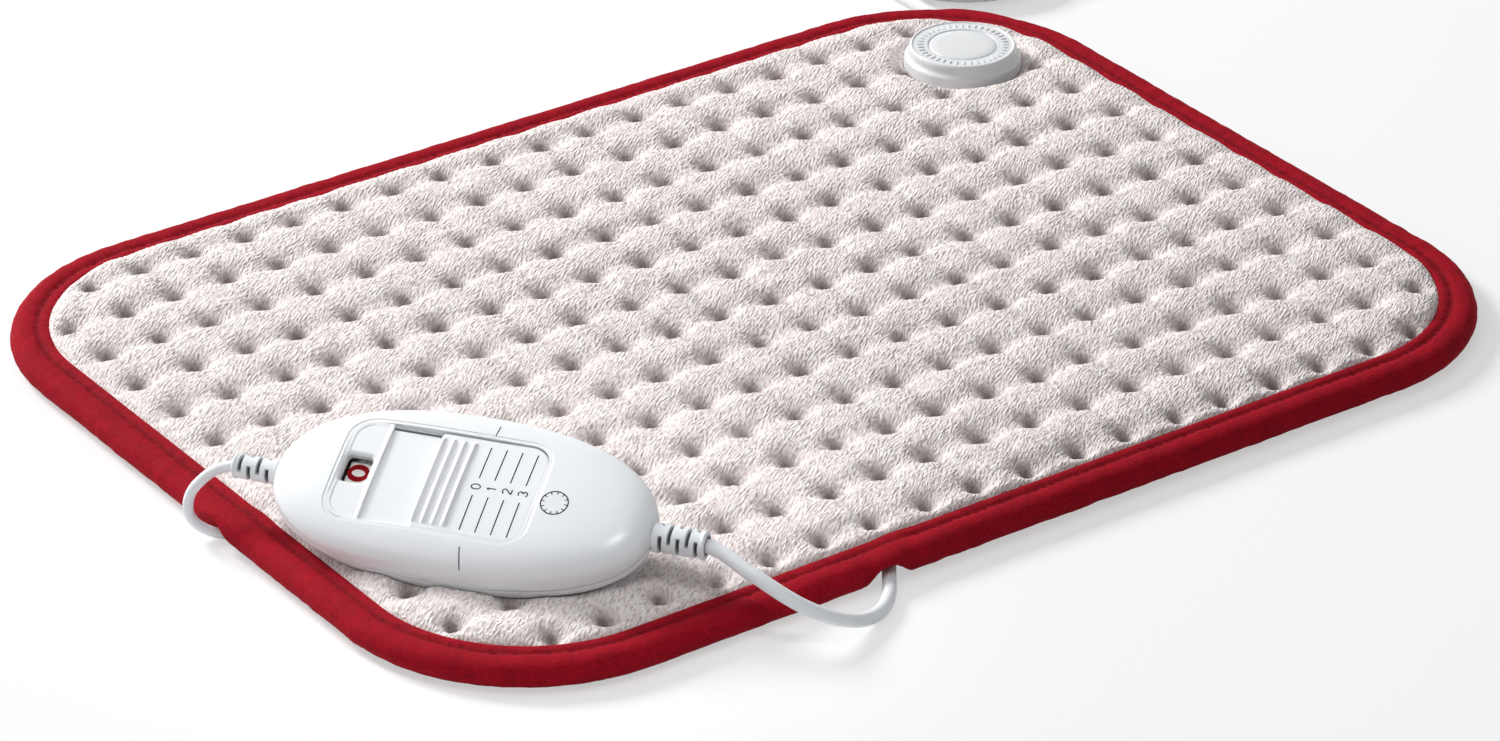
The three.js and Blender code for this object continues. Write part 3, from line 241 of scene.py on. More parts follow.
def headings(line: Array, closed: bool = False) -> Array:
    """Unit directions along a line, each from the point before to the point after."""
    ahead = np.roll(line, -1, axis=0) - np.roll(line, 1, axis=0) if closed else np.gradient(line, axis=0)
    return ahead / np.linalg.norm(ahead, axis=1)[:, None]


def tube(line: Array, radius: float, sides: int) -> Array:
    """A round tube along a line, with both ends drawn to a point.

    A place is the line's point + r (side cos a + up sin a). The side is carried along the line without a
    twist: it goes to the next point less its part along the line there.

    Args:
        line: The middle line's points.
        radius: Radius of the tube.
        sides: Points round it.

    Returns:
        The rings, from one end to the other.
    """
    ahead = headings(line)
    side = np.empty_like(line)
    current = np.cross(ahead[0], (0.0, 0.0, 1.0))
    for k, direction in enumerate(ahead):
        current = current - direction * (current @ direction)
        current = current / np.linalg.norm(current)
        side[k] = current
    up = np.cross(side, ahead)
    angle = circle(sides)[None, :, None]
    rings = line[:, None, :] + radius * (side[:, None, :] * np.cos(angle) + up[:, None, :] * np.sin(angle))
    first, last = (np.repeat(line[k][None, None, :], sides, axis=1) for k in (0, -1))
    return np.concatenate([first, rings, last])


def revolved(profile: Array, sides: int) -> Array:
    """A profile of (radius, height) turned about Z: (r cos a, r sin a, z)."""
    r, z = profile[:, :1], profile[:, 1:]
    return xyz(r * np.cos(circle(sides)), r * np.sin(circle(sides)), z)


class Form:
    """One piece's points and faces, gathered from grids, in millimetres."""

    def __init__(self) -> None:
        """Starts with nothing in it."""
        self.points: list[Array] = []
        self.quads: list[Array] = []
        self.painted_shades: list[Array] = []
        self.count = 0

    def grid(
        self, points: Array, around: bool = False, inside: Array | Triple | None = None, kept: Array | None = None,
        tone: Array | float = 0.0,
    ) -> "Form":
        """Adds a sheet of quads, turned so that it faces away from a point inside the piece.

        Args:
            points: Places, by row, column and axis.
            around: Whether the last column meets the first.
            inside: A point on the inner side, or None for the middle of the sheet.
            kept: Mask of the cells that get a face, or None for all.
            tone: The places' share of painted shade, the attribute that the finish reads.

        Returns:
            The form itself.
        """
        rows, columns = points.shape[:2]
        index = np.arange(rows * columns).reshape(rows, columns)
        if around:
            index = np.concatenate([index, index[:, :1]], axis=1)
        quads = np.stack([index[:-1, :-1], index[:-1, 1:], index[1:, 1:], index[1:, :-1]], axis=-1)
        quads = quads[kept] if kept is not None else quads.reshape(-1, 4)
        flat = points.reshape(-1, 3)
        corner = flat[quads]
        area = np.cross(corner[:, 2] - corner[:, 0], corner[:, 3] - corner[:, 1])
        middle = flat.mean(axis=0) if inside is None else np.asarray(inside, float)
        if ((corner.mean(axis=1) - middle) * area).sum() < 0.0:
            quads = quads[:, ::-1]
        self.points.append(flat)
        self.quads.append(quads + self.count)
        self.painted_shades.append(np.broadcast_to(np.asarray(tone, float), (rows, columns)).ravel())
        self.count += len(flat)
        return self

    def piece(
        self, name: str, finish: bpy.types.Material, slot: Slot, *replaced: str, body: Body = Body.MAIN,
        sharp: float = 40.0, weld: bool = True,
    ) -> bpy.types.Object:
        """Makes the piece's object, with its place in its mesh.

        Args:
            name: The object's name.
            finish: Its material.
            slot: The record's slot that the finish stands for; not used.
            replaced: The frame's nodes that it stands for.
            body: The body that it rides on.
            sharp: Angle in degrees past which an edge stays sharp.
            weld: Whether seams and poles are merged.

        Returns:
            The object.
        """
        points, quads, painted_shades = (np.concatenate(a) for a in (self.points, self.quads, self.painted_shades))
        points = points * MM
        corners, starts = quads.ravel(), np.arange(len(quads)) * 4
        if weld:
            _, first, merged = np.unique(np.round(points / (MM * MM)), axis=0, return_index=True, return_inverse=True)
            points, painted_shades = points[first], painted_shades[first]
            quads = merged.ravel()[quads]
            different = quads != np.roll(quads, 1, axis=1)
            sides = different.sum(axis=1)
            quads, different, sides = (a[sides > 2] for a in (quads, different, sides))
            corners, starts = quads[different], np.concatenate([[0], np.cumsum(sides)[:-1]])
        mesh = bpy.data.meshes.new(name)
        for part, count, key, values in (
            (mesh.vertices, len(points), "co", points.ravel()),
            (mesh.loops, len(corners), "vertex_index", corners.astype(np.int32)),
            (mesh.polygons, len(starts), "loop_start", starts.astype(np.int32)),
        ):
            part.add(count)
            part.foreach_set(key, values)
        mesh.update(calc_edges=True)
        mesh.validate()
        # The painted shade goes on each point as an attribute, which the finish reads to darken its colour.
        mesh.attributes.new("tone", "FLOAT", "POINT").data.foreach_set("value", painted_shades.astype(np.float32))
        mesh.polygons.foreach_set("use_smooth", np.ones(len(mesh.polygons), bool))
        mesh.set_sharp_from_angle(angle=math.radians(sharp))
        mesh.materials.append(finish)
        made = shown(name, mesh)
        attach(made, body.value)
        if replaced:
            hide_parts(*replaced)
        log.info("%s: %d points, %d faces", name, len(points), len(starts))
        return made


def shown(name: str, data: bpy.types.ID) -> bpy.types.Object:
    """Makes an object of a mesh, a lamp or a camera, and puts it in the scene."""
    made = bpy.data.objects.new(name, data)
    bpy.context.scene.collection.objects.link(made)
    return made


def capsules(base: Array, way: Array, length: float, radius: float, height: float, bow: float) -> Form:
    """Short round strokes that lie flat, each with its middle at a base and its ends lower by a bow.

    Args:
        base: Middle of each stroke in X and Y.
        way: Direction of each stroke.
        length: Length of a stroke.
        radius: Radius of a stroke, which draws in to its ends.
        height: Height of the middle line.
        bow: How much lower its ends lie.

    Returns:
        The strokes as one form.
    """
    along, angle = np.linspace(-1.0, 1.0, 7)[:, None], circle(6)
    r = radius * np.sqrt(np.maximum(1.0 - along**6, 0.0))
    z = height - bow * along**2 + r * np.sin(angle)
    form = Form()
    for (x, y), (ahead_x, ahead_y) in zip(base, way):
        ahead, side = along * length / 2.0, r * np.cos(angle)
        form.grid(xyz(x + ahead * ahead_x - side * ahead_y, y + ahead * ahead_y + side * ahead_x, z), around=True)
    return form


# Finishes


class Nodes:
    """A tree of shader nodes, with short ways to add to it."""

    def __init__(self, tree: bpy.types.NodeTree) -> None:
        """Keeps the tree."""
        self.tree = tree

    def wire(self, node: bpy.types.Node, given: dict[str | int, object]) -> None:
        """Gives each named input of a node a value of its own or another node's output."""
        for name, value in given.items():
            if isinstance(value, Socket):
                self.tree.links.new(value, node.inputs[name])
            else:
                node.inputs[name].default_value = value

    def add(self, kind: str, result: str | int, given: dict[str | int, object], **settings: str) -> Socket:
        """Adds a node.

        Args:
            kind: Its kind, without the word that all of them begin with.
            result: The output that is wanted.
            given: Values and outputs for its inputs.
            settings: Its own choices.

        Returns:
            The output.
        """
        node = self.tree.nodes.new("ShaderNode" + kind)
        for name, choice in settings.items():
            setattr(node, name, choice)
        self.wire(node, given)
        return node.outputs[result]

    def seen(self) -> Socket:
        """Whether a ray comes from the camera, a mirror or glass."""
        path = self.tree.nodes.new("ShaderNodeLightPath").outputs
        first = self.add("Math", "Value", {0: path["Is Camera Ray"], 1: path["Is Glossy Ray"]}, operation="MAXIMUM")
        return self.add("Math", "Value", {0: first, 1: path["Is Transmission Ray"]}, operation="MAXIMUM")


class Recipe(Nodes):
    """A material's nodes round one shader, with patterns read from Object coordinates in metres."""

    def __init__(self, name: str, colour: Triple, roughness: float) -> None:
        """Starts the material with one colour, in sRGB from 0 to 1, and one roughness."""
        self.material = bpy.data.materials.new(name)
        self.material.use_nodes = True
        super().__init__(self.material.node_tree)
        self.shader = self.tree.nodes["Principled BSDF"]
        self.wire(self.shader, {"Base Color": self.linear(colour), "Roughness": roughness})
        self.where = self.add("TexCoord", "Object", {})

    @staticmethod
    def linear(colour: Triple) -> tuple[float, float, float, float]:
        """An sRGB colour as linear light, by ((c + 0.055) / 1.055)^2.4 above its short straight foot."""
        red, green, blue = (c / 12.92 if c <= 0.04045 else ((c + 0.055) / 1.055) ** 2.4 for c in colour)
        return red, green, blue, 1.0

    def noise(self, spots: float | Triple, detail: float = 2.0, turn: float = 0.0) -> Socket:
        """Noise with that many spots a metre, or as many along each axis of a frame turned about Z."""
        at, scale = self.where, spots
        if isinstance(spots, tuple):
            turned = self.add("Mapping", "Vector", {"Vector": self.where, "Rotation": (0.0, 0.0, turn)})
            at, scale = self.add("Mapping", "Vector", {"Vector": turned, "Scale": spots}), 1.0
        return self.add("TexNoise", "Fac", {"Vector": at, "Scale": scale, "Detail": detail})

    def tone(self) -> Socket:
        """The painted shade that the mesh carries at its points."""
        return self.add("Attribute", "Fac", {}, attribute_name="tone")

    def spread(self, value: Socket, span: Pair, most: float = 1.0, least: float = 0.0) -> Socket:
        """A value's span laid over another one, from the least to the most, and clipped there."""
        given = {"Value": value, "From Min": span[0], "From Max": span[1], "To Min": least, "To Max": most}
        return self.add("MapRange", "Result", given)

    def tint(self, share: Socket, colour: Triple, base: Socket | None = None) -> Socket:
        """Mixes a colour into the shader's own, or into a base, by a share, and links it to the shader."""
        start = tuple(self.shader.inputs["Base Color"].default_value) if base is None else base
        made = self.add("Mix", 2, {"Factor": share, 6: start, 7: self.linear(colour)}, data_type="RGBA")
        self.wire(self.shader, {"Base Color": made})
        return made

    def bump(self, height: Socket, distance: float, strength: float) -> None:
        """Turns the surface's shading by a height pattern, whose full range is a distance in millimetres."""
        given = {"Height": height, "Distance": distance * MM, "Strength": strength}
        self.wire(self.shader, {"Normal": self.add("Bump", "Normal", given)})

    def sheen(self, weight: float, roughness: float, colour: Triple) -> None:
        """Gives the shader a cloth's sheen, and takes most of its gloss away."""
        self.wire(self.shader, {
            "Specular IOR Level": 0.12, "Sheen Weight": weight, "Sheen Roughness": roughness,
            "Sheen Tint": self.linear(colour),
        })


@dataclass(frozen=True)
class Finish:
    """What every material has: a name, a colour and a roughness."""

    name: str
    colour: Triple
    roughness: float

    def make(self) -> bpy.types.Material:
        """Builds the material."""
        recipe = Recipe(self.name, self.colour, self.roughness)
        self.pattern(recipe)
        return recipe.material

    def pattern(self, recipe: Recipe) -> None:
        """Adds what is the finish's own."""
        raise NotImplementedError


@dataclass(frozen=True)
class FleeceFinish(Finish):
    """Pinkish cream plush with a slanting nap, browner in the pits by painted shade."""

    name: str = "fleece_plush"
    colour: Triple = (0.955, 0.912, 0.902)
    roughness: float = 0.95
    # Dark brown of the strands' roots, and of the painted shade in the pits.
    pit: Triple = (0.48, 0.43, 0.425)
    tip: Triple = (0.985, 0.97, 0.962)
    strands: Triple = (430.0, 1350.0, 900.0)
    nap_turn: float = math.radians(-34)
    tips: Pair = (0.5, 0.64)
    roots: Pair = (0.48, 0.33)
    root_share: float = 0.38

    def pattern(self, recipe: Recipe) -> None:
        """Adds strands with light tips and dark roots, painted shade in the pits, and the nap's relief."""
        strands = recipe.noise(self.strands, 1.0, self.nap_turn)
        base = recipe.tint(recipe.spread(strands, self.tips), self.tip)
        base = recipe.tint(recipe.spread(strands, self.roots, self.root_share), self.pit, base)
        # Painted shade in and past the pits, by the mesh's attribute.
        recipe.tint(recipe.tone(), self.pit, base)
        recipe.bump(strands, 1.0, 1.0)
        recipe.sheen(0.04, 0.5, self.tip)


@dataclass(frozen=True)
class VelourFinish(Finish):
    """Deep red short velour with a fine matt pile, and painted shade in its sewn groove."""

    name: str = "tape_velour"
    colour: Triple = (0.61, 0.03, 0.11)
    roughness: float = 0.85
    # Dark red of the pile's dark ends and patches, and of the painted shade in the sewn groove.
    fold: Triple = (0.3, 0.01, 0.045)
    light: Triple = (0.68, 0.06, 0.15)
    glow: Triple = (0.75, 0.16, 0.22)

    def pattern(self, recipe: Recipe) -> None:
        """Adds the pile's light and dark ends, broad patches, painted shade in the groove and the pile's relief."""
        pile, patches = recipe.noise(1300.0), recipe.noise(150.0, 3.0)
        base = recipe.tint(recipe.spread(pile, (0.48, 0.7), 0.7), self.light)
        base = recipe.tint(recipe.spread(pile, (0.48, 0.3), 0.4), self.fold, base)
        base = recipe.tint(recipe.spread(patches, (0.6, 0.35), 0.2), self.fold, base)
        # Painted shade along the sewn groove, by the mesh's attribute.
        recipe.tint(recipe.tone(), self.fold, base)
        recipe.bump(pile, 0.25, 0.7)
        recipe.sheen(0.03, 0.4, self.glow)


@dataclass(frozen=True)
class LiningFinish(Finish):
    """Plain woven cloth: fine threads both ways."""

    name: str = "lining_weave"
    colour: Triple = (0.89, 0.85, 0.84)
    roughness: float = 0.9
    shade: Triple = (0.72, 0.67, 0.66)
    threads: float = 900.0
    stretch: float = 14.0

    def pattern(self, recipe: Recipe) -> None:
        """Adds the warp and the weft, each a noise that is drawn out along its threads."""
        fine, drawn = self.threads, self.threads / self.stretch
        warp, weft = recipe.noise((fine, drawn, drawn), 1.0), recipe.noise((drawn, fine, drawn), 1.0)
        weave = recipe.add("Math", "Value", {0: warp, 1: weft}, operation="ADD")
        recipe.tint(recipe.spread(weave, (1.0, 0.75), 0.7), self.shade)
        recipe.bump(weave, 0.12, 0.8)
        recipe.sheen(0.2, 0.5, self.colour)


@dataclass(frozen=True)
class MouldedFinish(Finish):
    """Injection-moulded plastic, with a faint unevenness in its gloss and skin."""

    grain: float = 1400.0
    depth: float = 0.006
    coat: float = 0.0
    painted_hollow_shade: Triple | None = None
    cloud: float = 38.0
    cloud_span: Pair = (0.2, 0.8)
    shading: float = 0.98
    swing: float = 0.08

    def pattern(self, recipe: Recipe) -> None:
        """Adds faint clouds in colour and gloss, painted shade in its hollows, and the skin's grain."""
        cloud, (red, green, blue) = recipe.noise(self.cloud, 3.0), self.colour
        shade = (red * self.shading, green * self.shading, blue * self.shading)
        base = recipe.tint(recipe.spread(cloud, self.cloud_span, 0.6), shade)
        # Painted shade in the hollows, by the mesh's attribute.
        if self.painted_hollow_shade:
            recipe.tint(recipe.tone(), self.painted_hollow_shade, base)
        most, least = self.roughness * (1.0 + self.swing), self.roughness * (1.0 - self.swing)
        gloss = recipe.spread(cloud, self.cloud_span, most, least)
        recipe.wire(recipe.shader, {"Roughness": gloss, "Coat Weight": self.coat, "Coat Roughness": 0.12})
        recipe.bump(recipe.noise(self.grain), self.depth, 0.5)


@dataclass(frozen=True)
class MetalFinish(Finish):
    """Plated or plain metal, drawn and lightly tarnished."""

    tarnish: Triple

    def pattern(self, recipe: Recipe) -> None:
        """Adds drawn lines in the gloss and spots of tarnish."""
        lines = recipe.noise((2500.0, 180.0, 2500.0))
        recipe.tint(recipe.spread(recipe.noise(300.0, 3.0), (0.5, 0.75), 0.5), self.tarnish)
        gloss = recipe.spread(lines, (0.3, 0.7), self.roughness * 1.3, self.roughness * 0.8)
        recipe.wire(recipe.shader, {"Metallic": 1.0, "Roughness": gloss})
        recipe.bump(lines, 0.01, 0.4)


@dataclass(frozen=True)
class BoardFinish(Finish):
    """Green circuit board with paler tracks under its varnish."""

    name: str = "board_varnish"
    colour: Triple = (0.16, 0.38, 0.24)
    roughness: float = 0.35
    track: Triple = (0.3, 0.55, 0.3)

    def pattern(self, recipe: Recipe) -> None:
        """Adds long tracks along the board."""
        tracks = recipe.noise((60.0, 420.0, 60.0), 0.0, math.radians(54))
        recipe.tint(recipe.spread(tracks, (0.52, 0.56)), self.track)
        recipe.bump(tracks, 0.03, 0.5)


@dataclass(frozen=True)
class InkFinish(Finish):
    """Printing ink: flat, matt, slightly uneven in its cover."""

    thin: Triple

    def pattern(self, recipe: Recipe) -> None:
        """Takes most of the gloss away, and thins the cover in spots."""
        recipe.wire(recipe.shader, {"Specular IOR Level": 0.08})
        recipe.tint(recipe.spread(recipe.noise(2600.0), (0.55, 0.8), 0.5), self.thin)


class Palette:
    """Every finish of the object, each made once. A slot's finish has the slot's name."""

    def __init__(self) -> None:
        """Makes the finishes."""
        self.fleece = FleeceFinish().make()
        self.tape = VelourFinish().make()
        self.thread = LiningFinish("thread_red", (0.5, 0.06, 0.11), shade=(0.33, 0.02, 0.06), threads=2600.0).make()
        self.lining = LiningFinish().make()
        self.carrier = LiningFinish(
            "carrier_fleece", (0.86, 0.84, 0.81), shade=(0.74, 0.71, 0.68), threads=500.0,
        ).make()
        # The housing's hollow colour is near-black painted shade in the face's slot.
        self.housing = MouldedFinish(
            "housing_gloss", (0.94, 0.95, 0.962), 0.3, coat=0.22, painted_hollow_shade=(0.03, 0.03, 0.035),
        ).make()
        self.disc = MouldedFinish("connector_shell", (0.89, 0.897, 0.905), 0.34, coat=0.15).make()
        self.inner = MouldedFinish("housing_inner", (0.94, 0.95, 0.96), 0.5).make()
        self.cord = MouldedFinish("cord_jacket", (0.94, 0.952, 0.965), 0.42, 900.0, 0.02).make()
        # The boot's hollow colour is painted shade in its slots and its bore.
        self.boot = MouldedFinish(
            "boot_rubber", (0.915, 0.928, 0.942), 0.5, 1200.0, 0.015, painted_hollow_shade=(0.26, 0.28, 0.3),
        ).make()
        self.number = MouldedFinish("drum_face", (0.975, 0.97, 0.955), 0.4).make()
        self.dark = MouldedFinish("dark_plastic", (0.17, 0.17, 0.19), 0.45).make()
        self.nylon = MouldedFinish("natural_nylon", (0.85, 0.85, 0.82), 0.5).make()
        self.steel = MetalFinish("plated_steel", (0.72, 0.74, 0.76), 0.32, (0.55, 0.54, 0.52)).make()
        self.brass = self.wire = MetalFinish("brass_pins", (0.79, 0.64, 0.31), 0.32, (0.58, 0.45, 0.22)).make()
        self.board = BoardFinish().make()
        self.ink_grey = InkFinish("ink_grey", (0.15, 0.16, 0.18), 0.55, (0.3, 0.31, 0.33)).make()
        self.ink_red = InkFinish("ink_red", (0.6, 0.012, 0.06), 0.55, (0.66, 0.05, 0.1)).make()

    def dress_frame(self) -> None:
        """Gives each of the frame's nodes that stay a finish by its slot."""
        slots = {s["node"]: s["material_slot"] for s in frame["record"]["subparts"]}
        for name, node in frame["nodes"].items():
            node.data.materials.clear()
            node.data.materials.append(vars(self)[slots[name]])


# Places that several pieces share


@dataclass(frozen=True)
class PadOutline:
    """The pad's rounded rectangle."""

    length: float = 440.0
    depth: float = 330.0
    corner: float = 68.7

    def inside(self, x: Array, y: Array) -> Array:
        """How far a place lies inside the outline, measured square to its edge near the edge."""
        qx = np.maximum(np.abs(x) - self.length / 2.0 + self.corner, 0.0)
        qy = np.maximum(np.abs(y) - self.depth / 2.0 + self.corner, 0.0)
        return self.corner - np.hypot(qx, qy)

    def sheet(self, inset: float, pitch: float) -> tuple[Array, Array]:
        """A grid over the outline drawn in by an inset, with cells of about a pitch."""
        halves = (self.length / 2.0 - inset, self.depth / 2.0 - inset)
        xs, ys = (np.linspace(-half, half, int(2.0 * half / pitch) + 1) for half in halves)
        return rounded_grid(xs, ys, self.corner - inset)

    def walk(self, spacing: float, inset: float) -> tuple[Array, Array, Array]:
        """Stations round the edge: where each one's radius starts, its outward direction and its travel.

        Straight sides move the start along with one direction, and corners turn the direction about one start.

        Args:
            spacing: Distance between stations, along the outline drawn in by the inset.
            inset: How far in that outline lies.

        Returns:
            The starts, the directions and the travel along the inset outline.
        """
        ax, ay = self.length / 2.0 - self.corner, self.depth / 2.0 - self.corner
        arc = (self.corner - inset) * TURN / 4.0
        centres = np.array([(ax, ay), (-ax, ay), (-ax, -ay), (ax, -ay)])
        parts = np.array([2.0 * ay, arc, 2.0 * ax, arc] * 2)
        ends = np.cumsum(parts)
        travel = np.linspace(0.0, ends[-1], int(ends[-1] / spacing), endpoint=False)
        part = np.searchsorted(ends, travel, side="right")
        share = ((travel - (ends - parts)[part]) / parts[part])[:, None]
        corner = part // 2
        straight = (part % 2 == 0)[:, None]
        start = np.where(straight, centres[corner - 1] * (1.0 - share) + centres[corner] * share, centres[corner])
        angle = (corner[:, None] + np.where(straight, 0.0, share)) * TURN / 4.0
        return start, np.hstack([np.cos(angle), np.sin(angle)]), travel


@dataclass(frozen=True)
class Connector:
    """Where the round connector sits, and how large it is."""

    x: float = 171.5
    y: float = 106.0
    radius: float = 21.35
    top: float = 17.6
    under: float = 8.8
    cord_angle: float = math.radians(200)
    boot_reach: float = 33.0
    boot_radius: float = 2.5
    cord_height: float = 2.85

    def boot_line(self) -> Array:
        """Points along the boot that leaves it under the pad."""
        along = np.linspace(0.0, self.boot_reach, 12)
        x, y = self.x + along * math.cos(self.cord_angle), self.y + along * math.sin(self.cord_angle)
        return xyz(x, y, self.cord_height)

    def rim(self, x: Array, y: Array) -> Array:
        """How far a place lies outside the connector's rim."""
        return np.hypot(x - self.x, y - self.y) - self.radius


@dataclass(frozen=True)
class Controller:
    """The controller's place, its axes and its oval form."""

    centre: Triple = (-166.6, -83.1, 26.4)
    yaw: float = math.radians(-54)
    roll: float = math.radians(24)
    half_length: float = 63.0
    half_width: float = 31.0
    rise: float = 12.0
    drop: float = 12.0
    outline_power: float = 2.27
    dome_power: float = 3.4
    back_power: float = 2.6

    def axes(self) -> Array:
        """The directions of U, V and W, one row each."""
        cy, sy, cr, sr = math.cos(self.yaw), math.sin(self.yaw), math.cos(self.roll), math.sin(self.roll)
        return np.array([[cy, sy, 0.0], [-sy * cr, cy * cr, sr], [sy * sr, -cy * sr, cr]])

    def out(self, points: Array | Triple) -> Array:
        """Places given in U, V and W, in the pad's axes."""
        return np.asarray(points, float) @ self.axes() + np.array(self.centre)

    def share(self, u: Array, v: Array) -> Array:
        """How far out a place lies in the oval, 1 on its edge: (|u/L|^n + |v/W|^n)^(1/n)."""
        n = self.outline_power
        return (np.abs(u / self.half_length) ** n + np.abs(v / self.half_width) ** n) ** (1.0 / n)

    def dome(self, u: Array, v: Array) -> Array:
        """Height of the top shell: rise (1 - s^p)^(1/p) at the share s."""
        s = np.clip(self.share(u, v), 0.0, 1.0)
        return self.rise * (1.0 - s**self.dome_power) ** (1.0 / self.dome_power)

    def holds(self, points: Array) -> Array:
        """Whether places in the pad's axes lie in the housing."""
        u, v, w = np.moveaxis((points - np.array(self.centre)) @ self.axes().T, -1, 0)
        s = self.share(u, v)
        above = s**self.dome_power + np.abs(w / self.rise) ** self.dome_power < 1.0
        below = s**self.back_power + np.abs(w / self.drop) ** self.back_power < 1.0
        return np.where(w > 0.0, above, below)

    def underside(self, x: Array, y: Array, none: float = 99.0) -> Array:
        """Height of the housing's underside over a place, found in steps up from the table."""
        found = np.full(x.shape, none)
        near = np.hypot(x - self.centre[0], y - self.centre[1]) < self.half_length + 2.0
        heights = np.arange(4.0, 24.0, 0.2)
        held = self.holds(xyz(x[near][:, None], y[near][:, None], heights[None, :]))
        found[near] = np.where(held.any(axis=1), heights[held.argmax(axis=1)], none)
        return found


def cord_route(*parts: tuple[Pair, list[Triple]]) -> list[Triple]:
    """A cord's points, gathered from lists that each count from a place of their own."""
    return [(x0 + x, y0 + y, z) for (x0, y0), points in parts for x, y, z in points]


CONTROLLER = Controller()
CONNECTOR = Connector()
OUTLINE = PadOutline()
BESIDE_CONTROLLER = CONTROLLER.centre[:2]
BESIDE_CONNECTOR = (CONNECTOR.x, CONNECTOR.y)
PAD_CORD_ROUTE = cord_route(
    (BESIDE_CONTROLLER, [
        (-30.3, 41.7, 26.4), (-37.0, 51.0, 26.4), (-41.7, 57.4, 26.4), (-45.8, 63.1, 26.4), (-51.1, 66.9, 24.7),
        (-54.9, 68.5, 22.0), (-58.0, 70.3, 17.8), (-59.1, 71.4, 12.6), (-58.6, 71.4, 8.6), (-56.9, 70.1, 5.4),
        (-53.3, 67.2, 2.8), (-44.4, 59.5, 1.95), (-28.4, 48.1, 1.95), (1.6, 40.1, 1.95),
    ]),
    ((0.0, 0.0), [(-115.0, -29.0, 1.95), (-50.0, 0.0, 1.95), (20.0, 36.0, 1.95), (85.0, 70.0, 1.95)]),
    (BESIDE_CONNECTOR, [(-49.5, -18.4, 2.2), (-31.0, -11.3, 2.85), (-23.0, -8.37, 2.85)]),
)
MAINS_ROUTE = cord_route(
    (BESIDE_CONTROLLER, [
        (30.3, -41.7, 26.4), (37.0, -51.0, 26.4), (42.3, -58.2, 26.4), (47.0, -64.7, 26.4), (49.8, -70.6, 25.1),
        (51.9, -77.2, 22.8), (54.7, -83.6, 20.2), (58.7, -89.9, 16.6), (63.9, -94.8, 12.7), (71.8, -98.4, 8.2),
        (80.3, -99.1, 4.8), (88.7, -96.9, 2.9), (96.2, -92.1, 2.45), (102.2, -85.5, 2.45), (110.6, -73.9, 2.45),
    ]),
    ((0.0, 0.0), [(-40.0, -140.0, 2.45), (-10.0, -114.0, 2.45), (45.0, -77.0, 2.45), (100.0, -40.0, 2.45)]),
    (BESIDE_CONNECTOR, [
        (-26.5, -111.0, 2.45), (6.5, -72.0, 2.45), (25.5, -30.0, 2.45), (32.3, 2.0, 2.45), (31.3, 24.0, 2.45),
        (27.5, 42.0, 2.45), (25.1, 54.0, 2.8), (24.4, 65.0, 3.5), (24.4, 77.0, 3.65),
    ]),
)
PAD_CORD_DIAMETER = 3.5
MAINS_DIAMETER = 4.7


@dataclass(frozen=True)
class Coil:
    """The wound length of the mains lead: four turns in, and four back out on top of them."""

    turns: int = 4
    radius: float = 27.0
    pitch: float = 5.2
    layer: float = 5.3
    low: float = 3.65
    climb: float = 0.25
    loop_steps: int = 24
    level: float = 10.0
    tail: float = 26.0
    relief: float = 20.0
    plug_height: float = 7.0

    def outer(self) -> float:
        """Radius of the outermost turn."""
        return self.radius + self.turns * self.pitch / 2.0

    def centre(self) -> Pair:
        """Where the coil's middle lies, beside the end of the route."""
        x, y, _ = MAINS_ROUTE[-1]
        return x + self.outer(), y + 0.3 + MAINS_DIAMETER

    def plug_start(self) -> Pair:
        """Where the plug's strain relief begins, past the tail of the outermost turn."""
        x, y = self.centre()
        return x - self.outer(), y + self.tail

    def line(self) -> Array:
        """The middle line of the wound lead and its tail.

        The radius falls by a pitch each turn and grows back, the angle runs clockwise, and the height rises by
        a layer round the turn where the radius turns back.
        """
        turn = np.arange(2 * self.turns * self.loop_steps + 1) / self.loop_steps
        radius = self.outer() - np.minimum(turn, 2 * self.turns - turn) * self.pitch
        angle = math.pi - TURN * turn
        x, y = self.centre()
        z = self.low + smooth(turn, self.turns - self.climb, self.turns + self.climb) * self.layer
        end_x, end_y = self.plug_start()
        tail = [
            (end_x, end_y - (self.tail - self.level) / 2.0, (z[-1] + self.plug_height) / 2.0),
            (end_x, end_y + self.relief / 2.0, self.plug_height),
        ]
        return np.vstack([xyz(x + radius * np.cos(angle), y + radius * np.sin(angle), z), tail])


COIL = Coil()


class Underneath:
    """The room that the cords take under the pad."""

    def __init__(self, under: float = 6.0, spacing: float = 1.5) -> None:
        """Samples the lines at a spacing, as far as they lie under a height."""
        lines = (
            (spline(PAD_CORD_ROUTE, 12), PAD_CORD_DIAMETER / 2.0), (spline(MAINS_ROUTE, 12), MAINS_DIAMETER / 2.0),
            (CONNECTOR.boot_line(), CONNECTOR.boot_radius),
        )
        sampled = [(resample(line, spacing), radius) for line, radius in lines]
        self.lines = [(line[line[:, 2] < under], radius) for line, radius in sampled]

    def lift(self, x: Array, y: Array, fall: float, room: float = 0.35, batch: int = 4_000_000) -> Array:
        """The least height of cloth over the cords: their tops, falling softly to the table beside them.

        Args:
            x: Places along the pad.
            y: Places across the pad.
            fall: How wide the slope beside a cord is.
            room: How far the cloth stays off a cord.
            batch: Distances that are measured at once.

        Returns:
            The heights.
        """
        flat = np.stack([x.ravel(), y.ravel()], axis=1)
        made = np.zeros(len(flat))
        for line, radius in self.lines:
            for part in np.array_split(np.arange(len(flat)), max(1, len(flat) * len(line) // batch)):
                gap = np.linalg.norm(flat[part][:, None, :] - line[None, :, :2], axis=2)
                nearest = gap.argmin(axis=1)
                away = gap[np.arange(len(part)), nearest]
                top = line[nearest, 2] + radius + room
                made[part] = np.maximum(made[part], top * smooth(-away, -radius - room - fall, -radius * 0.7))
        return made.reshape(x.shape)


# The pad


